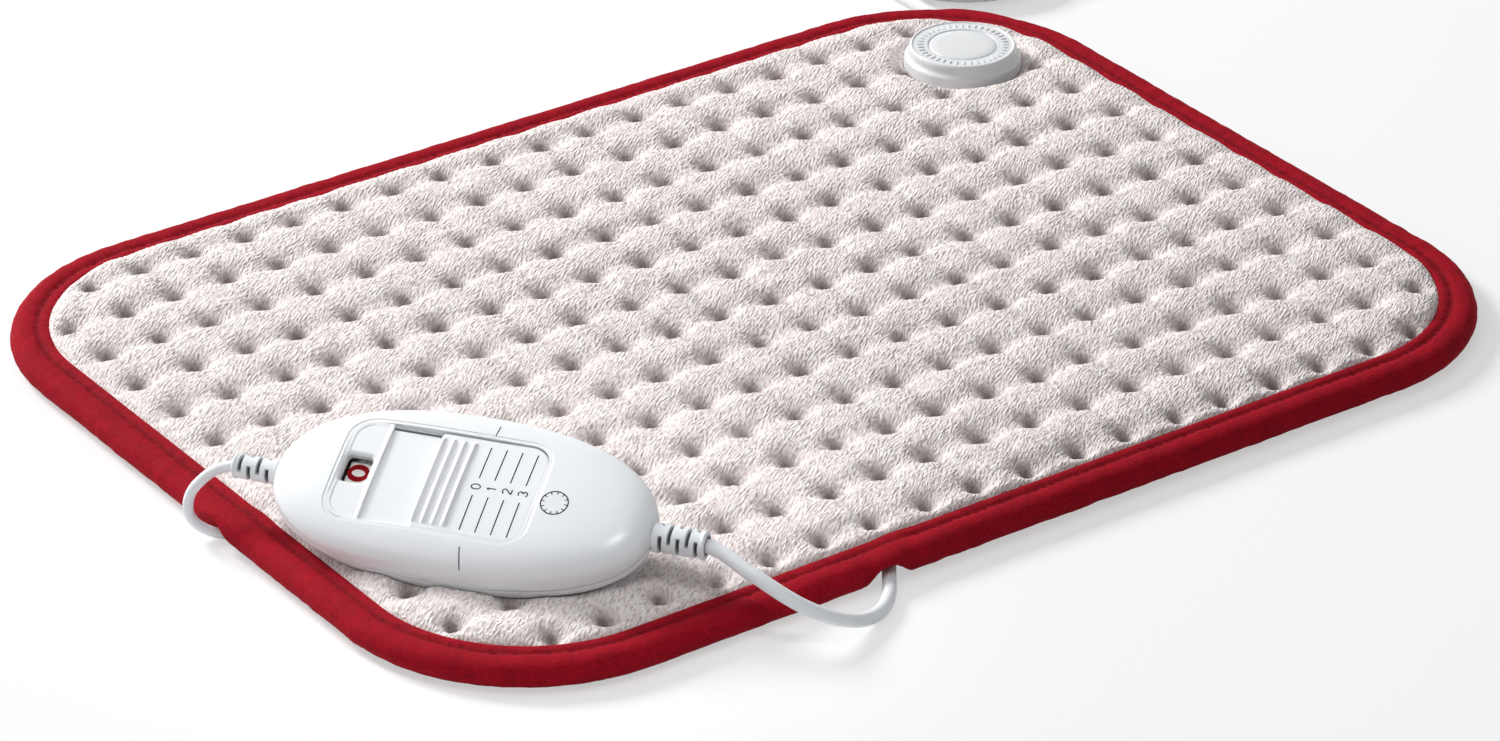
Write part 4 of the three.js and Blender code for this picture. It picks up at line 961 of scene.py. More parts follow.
@dataclass
class Tufts:
    """The rows of tufts that hold the fleece down, which lean a little, each tuft a little off its place."""

    columns: int = 20
    rows: int = 13
    pitch_x: float = 20.3
    pitch_y: float = 23.44
    middle_x: float = -2.4
    middle_y: float = -5.4
    lean: float = 0.0124
    scatter: float = 0.55
    strengths: Pair = (0.85, 1.15)

    def __post_init__(self) -> None:
        """Draws each tuft's own place and depth, and leaves the four corner ones out."""
        draws = np.random.default_rng(11)
        shape = (self.rows, self.columns)
        self.shift = draws.normal(0.0, self.scatter, (*shape, 2))
        self.strength = draws.uniform(*self.strengths, shape)
        self.strength[np.ix_((0, -1), (0, -1))] = 0.0

    def nearest(self, x: Array, y: Array) -> tuple[Array, Array, Array]:
        """The way from the nearest tuft to each place, and that tuft's strength."""
        x, y = x - self.middle_x, y - self.middle_y + self.lean * x
        half_i, half_j = (self.columns - 1) / 2.0, (self.rows - 1) / 2.0
        i = np.clip(np.rint(x / self.pitch_x + half_i), 0, self.columns - 1).astype(int)
        j = np.clip(np.rint(y / self.pitch_y + half_j), 0, self.rows - 1).astype(int)
        dx = x - (i - half_i) * self.pitch_x - self.shift[j, i, 0]
        dy = y - (j - half_j) * self.pitch_y - self.shift[j, i, 1]
        return dx, dy, self.strength[j, i]


@dataclass
class Fleece:
    """The tufted top: puffs between pits, a slanting nap, pressed down under the controller and connector."""

    pitch: float = 0.7
    inset: float = 11.2
    tape_edge: float = 13.2
    crown: float = 13.3
    row_valley: float = 1.4
    row_powers: Pair = (3.5, 7.0)
    column_valley: float = 0.5
    column_power: float = 6.0
    pit: float = 2.4
    pit_size: float = 2.3
    pit_far: float = 0.9
    cup: float = 3.4
    cup_side: float = 8.8
    cup_far: float = 11.4
    cup_near: float = 6.2
    bowl: float = 0.7
    cone: float = 0.3
    cone_size: float = 0.3
    cone_tip: float = 0.1
    shade: float = 0.9
    darkest: float = 0.9
    shade_size: float = 2.5
    shade_reach: float = 3.1
    shade_far: float = 1.9
    cup_shade: float = 0.12
    shoulder: float = 11.0
    edge: float = 8.9
    tucked: float = 8.45
    tuck: float = 1.2
    free: Pair = (0.2, 2.5)
    billow: float = 0.24
    ruffle: float = 0.05
    nap: float = 0.095
    nap_turn: float = math.radians(34)
    press: float = 8.5
    press_slope: float = 0.9
    press_blend: float = 0.6
    room: float = 0.35
    tufts: Tufts = field(default_factory=Tufts)

    def height(self, x: Array, y: Array) -> tuple[Array, Array]:
        """Height of the fleece, and the painted shade in and past each pit.

        Height is the crown less valleys along the rows and columns of tufts, less a pit at each tuft, a bell
        that lies a little to its far side, and a wide soft cup round it. The nap leans, so rows and cups fall
        gently on their far side and steeply on their near side: a valley is a power of the cosine that peaks on
        its row, with another power on each side, and a cup is an ellipse with another reach on each side. A
        quarter ellipse brings the sheet down to the tape, and soft least values press it under what stands on
        it. The painted shade, which darkens the colour where the pits fall into shade, is a drawn-out bell past each
        pit, with a little of the cup's square.

        Args:
            x: Places along the pad.
            y: Places across the pad.

        Returns:
            The heights and the painted shade, from 0 to 1.
        """
        dx, dy, strength = self.tufts.nearest(x, y)
        far = dy > 0.0
        column = np.cos(math.pi * np.clip(dx / self.tufts.pitch_x, -0.5, 0.5)) ** self.column_power
        row = np.cos(math.pi * np.clip(dy / self.tufts.pitch_y, -0.5, 0.5)) ** np.where(far, *self.row_powers)
        hole = bell(np.hypot(dx, dy - self.pit_far), self.pit_size) * strength
        away = np.hypot(dx / self.cup_side, dy / np.where(far, self.cup_far, self.cup_near))
        cone = np.exp(-np.hypot(away, self.cone_tip) / self.cone_size)
        cup = (self.bowl * smooth(-away, -1.0, 0.0) + self.cone * cone) * strength
        h = self.crown - self.row_valley * row - self.column_valley * column - self.pit * hole - self.cup * cup
        h += self.billow * speckle(3, x.shape, 34.0, 34.0)
        h += self.ruffle * speckle(4, x.shape, 9.0, 14.0, self.nap_turn)
        inside = OUTLINE.inside(x, y) - self.tape_edge
        h = self.edge + (h - self.edge) * quarter(inside / self.shoulder)
        h = np.where(inside < 0.0, self.edge + (self.tucked - self.edge) * smooth(-inside, 0.0, self.tuck), h)
        free = smooth(inside, *self.free)
        rim = CONNECTOR.rim(x, y)
        h = softer_least(h, self.press + self.press_slope * np.maximum(rim, 0.0), self.press_blend)
        h = softer_least(h, CONTROLLER.underside(x, y) - self.room, self.room)
        h += self.nap * speckle(5, x.shape, 1.6, 4.2, self.nap_turn) * free * smooth(rim, 0.0, 1.5)
        # Painted shade: a bell on the far wall past each pit and a little of the cup, where the pits fall into shade.
        shade = bell(np.hypot(dx / self.shade_size, (dy - self.shade_far) / self.shade_reach), 1.0) * strength
        return h, np.clip(self.shade * shade + self.cup_shade * cup**2, 0.0, self.darkest) * free

    def build(self, palette: Palette) -> None:
        x, y = OUTLINE.sheet(self.inset, self.pitch)
        z, tone = self.height(x, y)
        form = Form().grid(xyz(x, y, z), inside=(0.0, 0.0, -500.0), tone=tone)
        made = form.piece("fleece_top", palette.fleece, Slot.FLEECE, "pad_top_cover", sharp=180.0, weld=False)


@dataclass
class Binding:
    """The velour tape round the edge: a fat roll, sewn down along a groove with a row of stitches."""

    spacing: float = 1.2
    section_spacing: float = 0.62
    groove_inset: float = 9.3
    groove_depth: float = 0.42
    groove_width: float = 1.0
    stitch_pull: float = 0.28
    stitch_pitch: float = 3.4
    stitch_length: float = 2.3
    stitch_radius: float = 0.28
    stitch_height: float = 9.0
    stitch_bow: float = 0.35
    sewn_above: float = 7.0
    pucker: float = 0.062
    billow: float = 0.031
    gather: float = 0.09
    gather_width: float = 3.2
    fuzz: float = 0.03
    spots: tuple[Pair, ...] = ((9.0, 30.0), (34.0, 34.0), (4.0, 12.0), (2.2, 2.2))
    folded_in: Pair = (12.5, 2.0)
    # Painted shade in the sewn groove: its share for the groove's full depth, and its most.
    groove_shade: Pair = (0.5, 0.6)
    height: float = 9.8
    squeeze: float = 0.94
    fall: float = 5.0
    section: tuple[Pair, ...] = (
        (13.6, 8.5), (13.7, 9.2), (12.7, 9.75), (10.6, 9.75), (8.7, 9.55), (6.3, 9.9), (3.4, 9.6), (1.1, 8.1),
        (0.0, 5.4), (0.7, 3.0), (2.5, 1.2), (5.2, 0.3), (8.4, 0.0), (11.4, 0.0), (13.0, 0.5), (12.6, 2.0), (8.0, 2.4),
        (8.0, 8.0), (11.0, 8.2),
    )

    def groove(self, inset: Array, travel: Array) -> Array:
        """Depth of the sewn groove: a bell across it that each stitch pulls deeper."""
        along = 1.0 + self.stitch_pull * np.cos(TURN * travel / self.stitch_pitch)
        return self.groove_depth * bell(inset - self.groove_inset, self.groove_width) * along

    def build(self, palette: Palette, underneath: Underneath) -> None:
        """Makes the tape and its stitches.

        The section is a closed curve of insets and heights. Soft noise that is long across the tape moves it
        along its own outward direction, as puckers do, and it lifts over the cords below.

        Args:
            palette: The finishes.
            underneath: The room that the cords take.
        """
        start, out, travel = OUTLINE.walk(self.spacing, self.groove_inset)
        curve = resample(spline(list(self.section), 8, closed=True), self.section_spacing, closed=True)
        ahead = headings(curve, closed=True)
        shape = (len(start), len(curve))
        inset, z = (np.broadcast_to(curve[:, k], shape) for k in (0, 1))
        upper = z > self.sewn_above
        outer = smooth(self.folded_in[0] - inset, 0.0, self.folded_in[1])
        sewn = bell(inset - self.groove_inset, self.gather_width) * upper
        pucker, billow, gather, fuzz = (speckle(21 + k, shape, *spot) for k, spot in enumerate(self.spots))
        move = (self.pucker * pucker + self.billow * billow + self.fuzz * fuzz) * outer + self.gather * gather * sewn
        sink = self.groove(inset, travel[:, None]) * upper
        inset, z = inset + move * ahead[:, 1], z - move * ahead[:, 0] - sink
        flat = start[:, None, :] + out[:, None, :] * (OUTLINE.corner - inset)[..., None]
        lift = underneath.lift(flat[..., 0], flat[..., 1], self.fall)
        z = lift + np.maximum(z, 0.0) * (1.0 - self.squeeze * lift / self.height)
        points = xyz(flat[..., 0], flat[..., 1], z)
        # Painted shade along the groove, deeper where the stitches pull it down.
        tone = np.clip(self.groove_shade[0] * sink / self.groove_depth, 0.0, self.groove_shade[1])
        form = Form().grid(np.concatenate([points, points[:1]]), around=True, tone=np.concatenate([tone, tone[:1]]))
        made = form.piece("edge_tape", palette.tape, Slot.TAPE, "edge_binding", sharp=180.0)
        self.sew(palette)

    def sew(self, palette: Palette) -> None:
        """Makes the stitches: short bowed tubes whose middles stand out of the groove."""
        start, out, _ = OUTLINE.walk(self.stitch_pitch, self.groove_inset)
        side = np.stack([-out[:, 1], out[:, 0]], axis=1)
        base = start + out * (OUTLINE.corner - self.groove_inset)
        made = capsules(base, side, self.stitch_length, self.stitch_radius, self.stitch_height, self.stitch_bow)
        made.piece("edge_stitches", palette.thread, Slot.TAPE)


@dataclass
class Lining:
    """The cloth under the pad: puffed between the tufts, over the cords and round the connector's base."""

    inset: float = 8.0
    pitch: float = 2.0
    tape_edge: float = 13.3
    tucked: float = 2.3
    clearance: float = 0.15
    pull: float = 1.5
    pull_size: float = 4.0
    billow: float = 0.12
    billow_size: float = 9.0
    fall: float = 6.0
    fold: Pair = (-1.5, 1.5)
    base_height: float = 7.5
    base_wall: Pair = (-1.6, -0.2)

    def build(self, palette: Palette, underneath: Underneath, tufts: Tufts) -> None:
        """Makes the lining, whose height is a low puff with a bell at each tuft.

        It stays over the cords, over the tape's folded edge and, steeply, over the connector's base.

        Args:
            palette: The finishes.
            underneath: The room that the cords take.
            tufts: The fleece's tufts.
        """
        x, y = OUTLINE.sheet(self.inset, self.pitch)
        dx, dy, strength = tufts.nearest(x, y)
        z = self.clearance + self.pull * strength * bell(np.hypot(dx, dy), self.pull_size)
        z += self.billow * np.clip(speckle(31, x.shape, self.billow_size, self.billow_size), 0.0, 2.0)
        z = np.maximum(z, underneath.lift(x, y, self.fall))
        z = np.maximum(z, self.tucked * smooth(self.tape_edge - OUTLINE.inside(x, y), *self.fold))
        z = np.maximum(z, self.base_height * smooth(-CONNECTOR.rim(x, y), *self.base_wall))
        form = Form().grid(xyz(x, y, z), inside=(0.0, 0.0, 500.0))
        made = form.piece("back_lining", palette.lining, Slot.LINING, "pad_back_cover", sharp=180.0)


@dataclass
class ConnectorCap:
    """The round connector's upper shell: a rim, a shoulder and a plateau with a ring groove."""

    sides: int = 128
    plateau: float = 0.96
    groove_radius: float = 12.4
    tick_radius: float = 15.6
    tick_length: float = 2.7
    tick_width: float = 0.85
    tick_count: int = 40
    shares: tuple[Pair, ...] = (
        (0.9, 0.06), (0.985, 0.0), (1.0, 0.05), (1.0, 0.36), (0.993, 0.47), (0.968, 0.545), (0.94, 0.6),
        (0.925, 0.68), (0.918, 0.84), (0.905, 0.94), (0.885, 0.992), (0.872, 1.0), (0.858, 0.985),
        (0.85, 0.962), (0.83, 0.957), (0.7, 0.96), (0.6, 0.96),
    )

    def build(self, palette: Palette) -> None:
        """Makes the shell from its under edge to its middle, and the ring of ticks printed on its plateau."""
        c, g = CONNECTOR, self.groove_radius
        rise = c.top - c.under
        top = c.under + self.plateau * rise
        outer = spline([(r * c.radius, c.under + h * rise) for r, h in self.shares], 6)
        inner = [
            (g + 0.55, top), (g + 0.3, top - 0.12), (g + 0.12, top - 0.42), (g - 0.12, top - 0.42),
            (g - 0.3, top - 0.12), (g - 0.55, top), (g * 0.7, top + 0.1), (g * 0.35, top + 0.2), (0.0, top + 0.25),
        ]
        cap = revolved(np.vstack([outer, inner]), self.sides) + np.array([c.x, c.y, 0.0])
        form = Form().grid(cap, around=True)
        form.piece("connector_cap", palette.disc, Slot.HOUSING, "disc_upper_shell", sharp=50.0)
        way = xyz(np.cos(circle(self.tick_count)), np.sin(circle(self.tick_count)))
        base = np.array([c.x, c.y]) + way * self.tick_radius
        ticks = capsules(base, way, self.tick_length, self.tick_width / 2.0, top, 0.0)
        ticks.piece("connector_ticks", palette.disc, Slot.HOUSING)


# The controller


class Marks:
    """Flat printed marks, as thin ribbons that follow a surface."""

    def __init__(
        self, surface: Plane, lift: float = 0.04, out: Callable[[Array | Triple], Array] = CONTROLLER.out,
    ) -> None:
        """Keeps where the marks go.

        Args:
            surface: A function of U and V that gives W.
            lift: How far above it the ink lies.
            out: What takes places in U, V and W to the pad's axes.
        """
        self.surface, self.lift, self.out = surface, lift, out
        self.form = Form()

    def ribbon(self, line: Array, width: float, closed: bool = False, swell: float = 0.0) -> None:
        """Adds a stroke of a width along a line of (u, v) points, each side's edge square to the line.

        Args:
            line: The middle line's points.
            width: Width of the stroke.
            closed: Whether the line comes back to its first point.
            swell: Share by which the stroke is wider where it runs along U than where it runs along V.
        """
        line = resample(line, 0.35, closed)
        ahead = headings(line, closed)
        if closed:
            line, ahead = (np.vstack([a, a[:1]]) for a in (line, ahead))
        side = np.stack([-ahead[:, 1], ahead[:, 0]], axis=1)
        across = np.linspace(-0.5, 0.5, 4)[None, :, None] * width * (1.0 + swell * ahead[:, :1, None] ** 2)
        u, v = np.moveaxis(line[:, None, :] + side[:, None, :] * across, -1, 0)
        points = self.out(xyz(u, v, self.surface(u, v) + self.lift))
        self.form.grid(points, inside=self.out((u.mean(), v.mean(), -200.0)))

    def figure(self, digit: int, centre: Pair, size: Pair, width: float, swell: float = 0.0) -> None:
        """Adds a digit, whose top points to -U and whose right side to +V.

        Args:
            digit: From 0 to 3.
            centre: Its middle, in U and V.
            size: Its height and its breadth.
            width: Width of the stroke.
            swell: Share by which its upright parts are wider than its flat ones.
        """
        tall, broad = (size[0] - width) / 2.0, (size[1] - width) / 2.0

        def bow(first: float, last: float, count: int, reach_out: float, middle: float) -> Array:
            """Points along half a figure's arc, from one angle in degrees to another."""
            turn = np.radians(np.linspace(first, last, count))
            return np.stack([reach_out * np.cos(turn), middle + tall / 2.0 * np.sin(turn)], axis=1)

        if digit == 0:
            stroke = np.stack([broad * np.cos(circle(40)), tall * np.sin(circle(40))], axis=1)
        elif digit == 1:
            stroke = np.array([(-broad * 0.6, tall * 0.5), (broad * 0.15, tall), (broad * 0.15, -tall)])
        elif digit == 2:
            stroke = np.vstack([bow(165.0, -35.0, 16, broad, tall / 2.0), [(-broad, -tall), (broad, -tall)]])
        else:
            upper, lower = (0.9 * broad, tall / 2.0), (broad, -tall / 2.0)
            stroke = np.vstack([bow(150.0, -90.0, 14, *upper), bow(90.0, -150.0, 14, *lower)[1:]])
        line = np.stack([centre[0] - stroke[:, 1], centre[1] + stroke[:, 0]], axis=1)
        self.ribbon(line, width, digit == 0, swell)


@dataclass
class Housing:
    """The two shells of the controller, the recess in its face and the window over the number drum."""

    angles: int = 400
    recess_left: float = -40.5
    recess_right: float = 25.5
    recess_half: float = 19.0
    recess_radius: float = 7.0
    lip: float = 1.3
    lip_share: float = 0.74
    frame_step: float = 0.26
    step_share: float = 0.2
    roll_from: float = 0.75
    roll: float = 0.2
    bay_left: float = -28.1
    bay_drop: float = 1.15
    slot_near: float = 17.3
    slot_far: float = 18.2
    slot_drop: float = 2.4
    wall_foot: float = 6.9
    plate_drop: float = 0.2
    tray: float = 0.26
    tray_wall: Pair = (1.0, 1.7)
    tray_end: Pair = (0.5, 1.8)
    ridge: float = 0.06
    ridge_from_bay: float = 0.4
    ridge_width: float = 0.28
    bevel: float = 0.8
    bevel_width: float = 1.3
    crown: float = 10.75
    edge: float = 10.15
    window_u: float = -34.8
    window_half_u: float = 4.4
    window_half_v: float = 5.4
    window_radius: float = 1.8
    well_rings: tuple[Pair, ...] = ((1.05, 8.95), (1.0, 8.7), (1.0, 7.55), (1.05, 7.4), (1.7, 7.3))
    tongue_share: Triple = (0.985, 0.975, 0.0)
    tongue_half: float = 2.0
    split: float = 0.15
    fillet: float = 0.45
    first_level: float = 0.055
    last_level: float = 0.96
    pole_levels: tuple[float, ...] = (0.975, 0.988, 0.995, 0.999, 1.0)
    index_lines: tuple[tuple[Pair, Pair], ...] = (((5.4, 19.9), (5.4, 24.6)), ((7.6, -22.9), (9.1, -29.3)))
    index_width: float = 0.38
    ring_at: Pair = (32.1, -1.6)
    ring_radius: float = 4.35
    ring_width: float = 0.42
    ring_ticks: int = 12
    tick_length: float = 1.1
    tick_width: float = 0.34

    def __post_init__(self) -> None:
        """Finds the recess's middle and half its length, and the rays that the shells are made on."""
        self.middle = (self.recess_left + self.recess_right) / 2.0
        self.half = (self.recess_right - self.recess_left) / 2.0
        self.rays = circle(self.angles)

    def arch(self, v: Array) -> Array:
        """Height of the arched face: a parabola from its crown to its edge."""
        return self.crown - (self.crown - self.edge) * (v / self.recess_half) ** 2

    def recess(self, u: Array, v: Array) -> Array:
        """Signed distance to the recess's outline, with U counted from its middle."""
        return round_box(u, v, self.half, self.recess_half, self.recess_radius)

    def window(self, u: Array, v: Array) -> Array:
        """Signed distance to the window's outline, with U counted from its middle."""
        return round_box(u, v, self.window_half_u, self.window_half_v, self.window_radius)

    def ray(self, distance: Array) -> tuple[Array, Array]:
        """Places at distances along the rays from the recess's middle."""
        return self.middle + distance * np.cos(self.rays), distance * np.sin(self.rays)

    def oval(self, level: float, power: float) -> Array:
        """How far the rays go to a half shell's skin at a level, a share of its height."""
        s = (1.0 - min(level, 0.999999) ** power) ** (1.0 / power)
        return reach(self.rays, lambda u, v: CONTROLLER.share(self.middle + u, v) < s)

    def shell_rings(self, height: float, power: float, levels: Array) -> list[Array]:
        """Rings of an oval half, each at a level of its height, with a round edge at the split.

        Args:
            height: The half's height along W, below 0 for the back.
            power: The power of its form.
            levels: The levels past the round edge.

        Returns:
            The rings.
        """
        turns = np.linspace(0.0, TURN / 4.0, 5)[:-1]
        rings = [((self.split + self.fillet * (1.0 - math.cos(t))) / abs(height), 1.0 - math.sin(t)) for t in turns]
        made = []
        for level, draw in rings + [(level, 0.0) for level in levels]:
            distance = np.maximum(self.oval(level, power) - self.fillet * draw, 0.0)
            made.append(xyz(*self.ray(distance), level * height))
        return made

    def top(self) -> Array:
        """The top shell's skin, from its lower edge up the dome, over the lip and down the recess's wall."""
        share, power = self.lip_share, CONTROLLER.dome_power
        levels = np.sin(np.linspace(math.asin(self.first_level), math.asin(share), 22))
        rings = self.shell_rings(CONTROLLER.rise, power, levels)
        outer = self.oval(share, power)
        lip, hole = (reach(self.rays, lambda u, v, g=grow: self.recess(u, v) < g) for grow in (self.lip, 0.0))
        t = np.linspace(0.0, 1.0, 26)[1:, None]
        u, v = self.ray(outer + (lip - outer) * t)
        dome = xyz(u, v, CONTROLLER.dome(u, v))
        t = np.linspace(0.0, 1.0, 17)[1:, None]
        u, v = self.ray(lip + (hole - lip) * t)
        roll = np.maximum((t - self.roll_from) / (1.0 - self.roll_from), 0.0) ** 2
        fall = self.frame_step * (smooth(t, 0.0, self.step_share) + self.roll * roll)
        framed = xyz(u, v, CONTROLLER.dome(u, v) - fall)
        return np.concatenate([np.stack(rings), dome, framed, xyz(*self.ray(hole), self.wall_foot)[None]])

    def face_height(self, u: Array, v: Array) -> Array:
        """Height of the recess's floor: the arched tray round the window, the ridge beside it, and the bay.

        Args:
            u: Places along the controller.
            v: Places across it.

        Returns:
            The heights.
        """
        rim = -self.recess(u - self.middle, v)
        tray = smooth(rim, *self.tray_wall) * smooth(self.bay_left - u, *self.tray_end)
        plate = self.arch(v) - self.plate_drop - self.tray * tray
        plate += self.ridge * bell(u - self.bay_left + self.ridge_from_bay, self.ridge_width)
        plate -= self.bevel * np.clip(1.0 - self.window(u - self.window_u, v) / self.bevel_width, 0.0, 1.0) ** 2
        bay = self.arch(v) - self.bay_drop - self.slot_drop * ((v > self.slot_near) & (v < self.slot_far))
        return np.where(u > self.bay_left, bay, plate)

    def face(self) -> tuple[Array, Array]:
        """The recess's floor as a grid with close lines at the window and the bay's edge, and its kept cells."""
        left = np.linspace(self.recess_left, self.bay_left - 0.02, 92)
        right = np.concatenate([[self.bay_left + 0.02], np.linspace(self.bay_left + 0.5, self.recess_right, 60)])
        us = np.concatenate([left, right]) - self.middle
        us[0], us[-1] = -self.half, self.half
        fine = np.linspace(0.0, self.window_half_v + 2.0, 40)
        coarse = np.linspace(self.window_half_v + 2.4, self.slot_near - 0.4, 24)
        slot = [edge + side for edge in (self.slot_near, self.slot_far) for side in (-0.03, 0.03)]
        upper = np.concatenate([fine, coarse, slot, [self.slot_far + 0.4, self.recess_half]])
        u, v = rounded_grid(us, np.concatenate([-upper[:0:-1], upper]), self.recess_radius)
        u = u + self.middle
        hole = self.window(u - self.window_u, v) < 0.0
        inner = hole[:-1, :-1] & hole[1:, 1:] & hole[:-1, 1:] & hole[1:, :-1]
        return xyz(u, v, self.face_height(u, v)), ~inner

    def well(self) -> Array:
        """The wall of the window through the plate, and the flare of the plate's underside round it."""
        angle = circle(96)
        wall = reach(angle, lambda u, v: self.window(u, v) < 0.0)
        u, v = wall * np.cos(angle), wall * np.sin(angle)
        return np.stack([xyz(self.window_u + grow * u, grow * v, w) for grow, w in self.well_rings])

    def build(self, palette: Palette) -> None:
        """Makes both shells, the window's wall and the marks on the top shell."""
        out, middle = CONTROLLER.out, CONTROLLER.centre
        top, (face, kept) = self.top(), self.face()
        tongue = np.stack([top[0] * self.tongue_share + (0.0, 0.0, k * self.tongue_half) for k in (-1, 1)])
        u, v = face[..., 0], face[..., 1]
        # The slot along the bay gets near-black painted shade.
        slot_shade_mask = (u > self.bay_left) & (v > self.slot_near) & (v < self.slot_far)
        form = Form().grid(out(top), around=True, inside=middle)
        form.grid(out(face), inside=out((self.window_u, 0.0, -300.0)), kept=kept, tone=slot_shade_mask)
        form.grid(out(tongue), around=True, inside=middle)
        form.piece("controller_face", palette.housing, Slot.HOUSING, "controller_top_shell", sharp=38.0)
        inner = Form().grid(out(self.well()), around=True, inside=out((self.window_u + 60.0, 0.0, 5.0)))
        inner.piece("window_well", palette.inner, Slot.HOUSING, sharp=60.0)
        self.bottom(palette)
        self.print(palette)

    def bottom(self, palette: Palette) -> None:
        """Makes the back shell: rings down to a closed pole."""
        sides = np.sin(np.linspace(math.asin(self.first_level), math.asin(self.last_level), 44))
        levels = np.concatenate([sides, self.pole_levels])
        points = np.stack(self.shell_rings(-CONTROLLER.drop, CONTROLLER.back_power, levels))
        points[-1] = points[-1].mean(axis=0)
        form = Form().grid(CONTROLLER.out(points), around=True, inside=CONTROLLER.centre)
        form.piece("controller_back", palette.housing, Slot.HOUSING, "controller_bottom_shell", sharp=38.0)

    def print(self, palette: Palette) -> None:
        """Prints the index lines and the ring of ticks on the top shell."""
        marks = Marks(CONTROLLER.dome)
        for ends in self.index_lines:
            marks.ribbon(np.array(ends), self.index_width)
        ring, ways = (xyz(np.cos(circle(n)), np.sin(circle(n))) for n in (48, self.ring_ticks))
        marks.ribbon(self.ring_at + ring * self.ring_radius, self.ring_width, closed=True)
        for way in ways:
            ends = [self.ring_at + way * radius for radius in (self.ring_radius - self.tick_length, self.ring_radius)]
            marks.ribbon(np.stack(ends), self.tick_width)
        marks.form.piece("housing_marks", palette.ink_grey, Slot.DARK, sharp=180.0)


@dataclass
class Slider:
    """The sliding cap: an arched plate with four grip ribs, a slope at its left end and printed steps."""

    left: float = -12.2
    right: float = 25.2
    half_width: float = 18.7
    thickness: float = 1.0
    slope: float = 0.7
    slope_length: float = 1.7
    crown: float = 10.95
    edge: float = 10.35
    corner: float = 6.7
    left_corner: float = 1.2
    rounding: float = 0.7
    rib_start: float = -10.5
    rib_pitch: float = 3.45
    rib_half: float = 1.05
    rib_height: float = 0.95
    rib_power: float = 0.8
    rib_reach: float = 16.6
    rib_count: int = 4
    mark_start: float = 5.4
    mark_pitch: float = 5.2
    mark_lines: tuple[Pair, ...] = ((3.3, 15.8), (-3.3, -16.8))
    mark_size: Pair = (3.4, 2.3)
    mark_width: float = 0.42
    leg_left: float = -11.9
    leg_length: float = 6.0
    leg_thickness: float = 1.4
    leg_offset: float = 16.9
    leg_top: float = 8.6
    leg_bottom: float = 3.1
    leg_power: float = 0.25

    def arch(self, v: Array) -> Array:
        """Height of the bare cap: a parabola from its crown to its edge."""
        return self.crown - (self.crown - self.edge) * (v / self.half_width) ** 2

    def height(self, u: Array, v: Array) -> Array:
        """Height of the cap: its arch, a cosine ridge over each rib's spine, and a slope at the left.

        Args:
            u: Places along the controller.
            v: Places across it.

        Returns:
            The heights, before the edge is rounded.
        """
        w = self.arch(v) - self.slope * (1.0 - smooth(u, self.left, self.left + self.slope_length))
        past = np.maximum(np.abs(v) - self.rib_reach + self.rib_half, 0.0)
        for k in range(self.rib_count):
            away = np.clip(np.hypot(u - self.rib_start - k * self.rib_pitch, past) / self.rib_half, 0.0, 1.0)
            w = w + self.rib_height * (0.5 + 0.5 * np.cos(math.pi * away)) ** self.rib_power
        return w

    def cap(self) -> Array:
        """The cap's skin as a grid that is close at its edges and ribs, with its rim brought down to a wall."""
        middle, half = (self.left + self.right) / 2.0, (self.right - self.left) / 2.0
        near = np.array([0.0, 0.08, 0.18, 0.32, 0.5, 0.75])
        ribbed = self.rib_start + self.rib_count * self.rib_pitch
        us = np.concatenate([
            self.left + near, np.arange(self.left + 0.95, ribbed, 0.22), np.arange(ribbed, self.right - 1.0, 0.7),
            self.right - near[::-1],
        ]) - middle
        vs = np.concatenate([-self.half_width + near, np.linspace(-17.6, 17.6, 72), self.half_width - near[::-1]])
        u, v = (np.pad(a, 1, mode="edge") for a in rounded_grid(us, vs, self.corner, self.left_corner))
        depth_right, depth_left = (-round_box(u, v, half, self.half_width, r) for r in (self.corner, self.left_corner))
        depth = np.where(u > 0.0, depth_right, depth_left)
        u = u + middle
        w = self.height(u, v) - self.rounding * (1.0 - quarter(depth / self.rounding))
        under = self.arch(v) - self.thickness
        w[0], w[-1], w[:, 0], w[:, -1] = under[0], under[-1], under[:, 0], under[:, -1]
        return xyz(u, v, w)

    def leg(self, side: float) -> Array:
        """One leg: a rounded rectangle carried down from the cap's underside."""
        across, along = squared(circle(32), self.leg_power)
        u, v = across * self.leg_length / 2.0, along * self.leg_thickness / 2.0
        centre_u, centre_v = self.leg_left + self.leg_length / 2.0, side * self.leg_offset
        foot = self.leg_bottom
        rings = ((1.0, self.leg_top), (1.0, foot + 0.3), (0.94, foot), (0.0, foot))
        return np.stack([xyz(centre_u + u * s, centre_v + v * s, w) for s, w in rings])

    def build(self, palette: Palette) -> None:
        """Makes the cap with its two legs, and prints the four steps on it."""
        below = CONTROLLER.out(((self.left + self.right) / 2.0, 0.0, -300.0))
        form = Form().grid(CONTROLLER.out(self.cap()), inside=below)
        for side in (-1.0, 1.0):
            form.grid(CONTROLLER.out(self.leg(side)), around=True)
        form.piece("slider", palette.housing, Slot.HOUSING, "slider_cap", body=Body.SLIDER, sharp=38.0)
        marks = Marks(self.height)
        for k in range(4):
            place = self.mark_start + k * self.mark_pitch
            for low, high in self.mark_lines:
                marks.ribbon(np.array([(place, low), (place, high)]), self.mark_width)
            marks.figure(k, (place, 0.0), self.mark_size, self.mark_width)
        marks.form.piece("slider_marks", palette.ink_grey, Slot.DARK, body=Body.SLIDER, sharp=180.0)


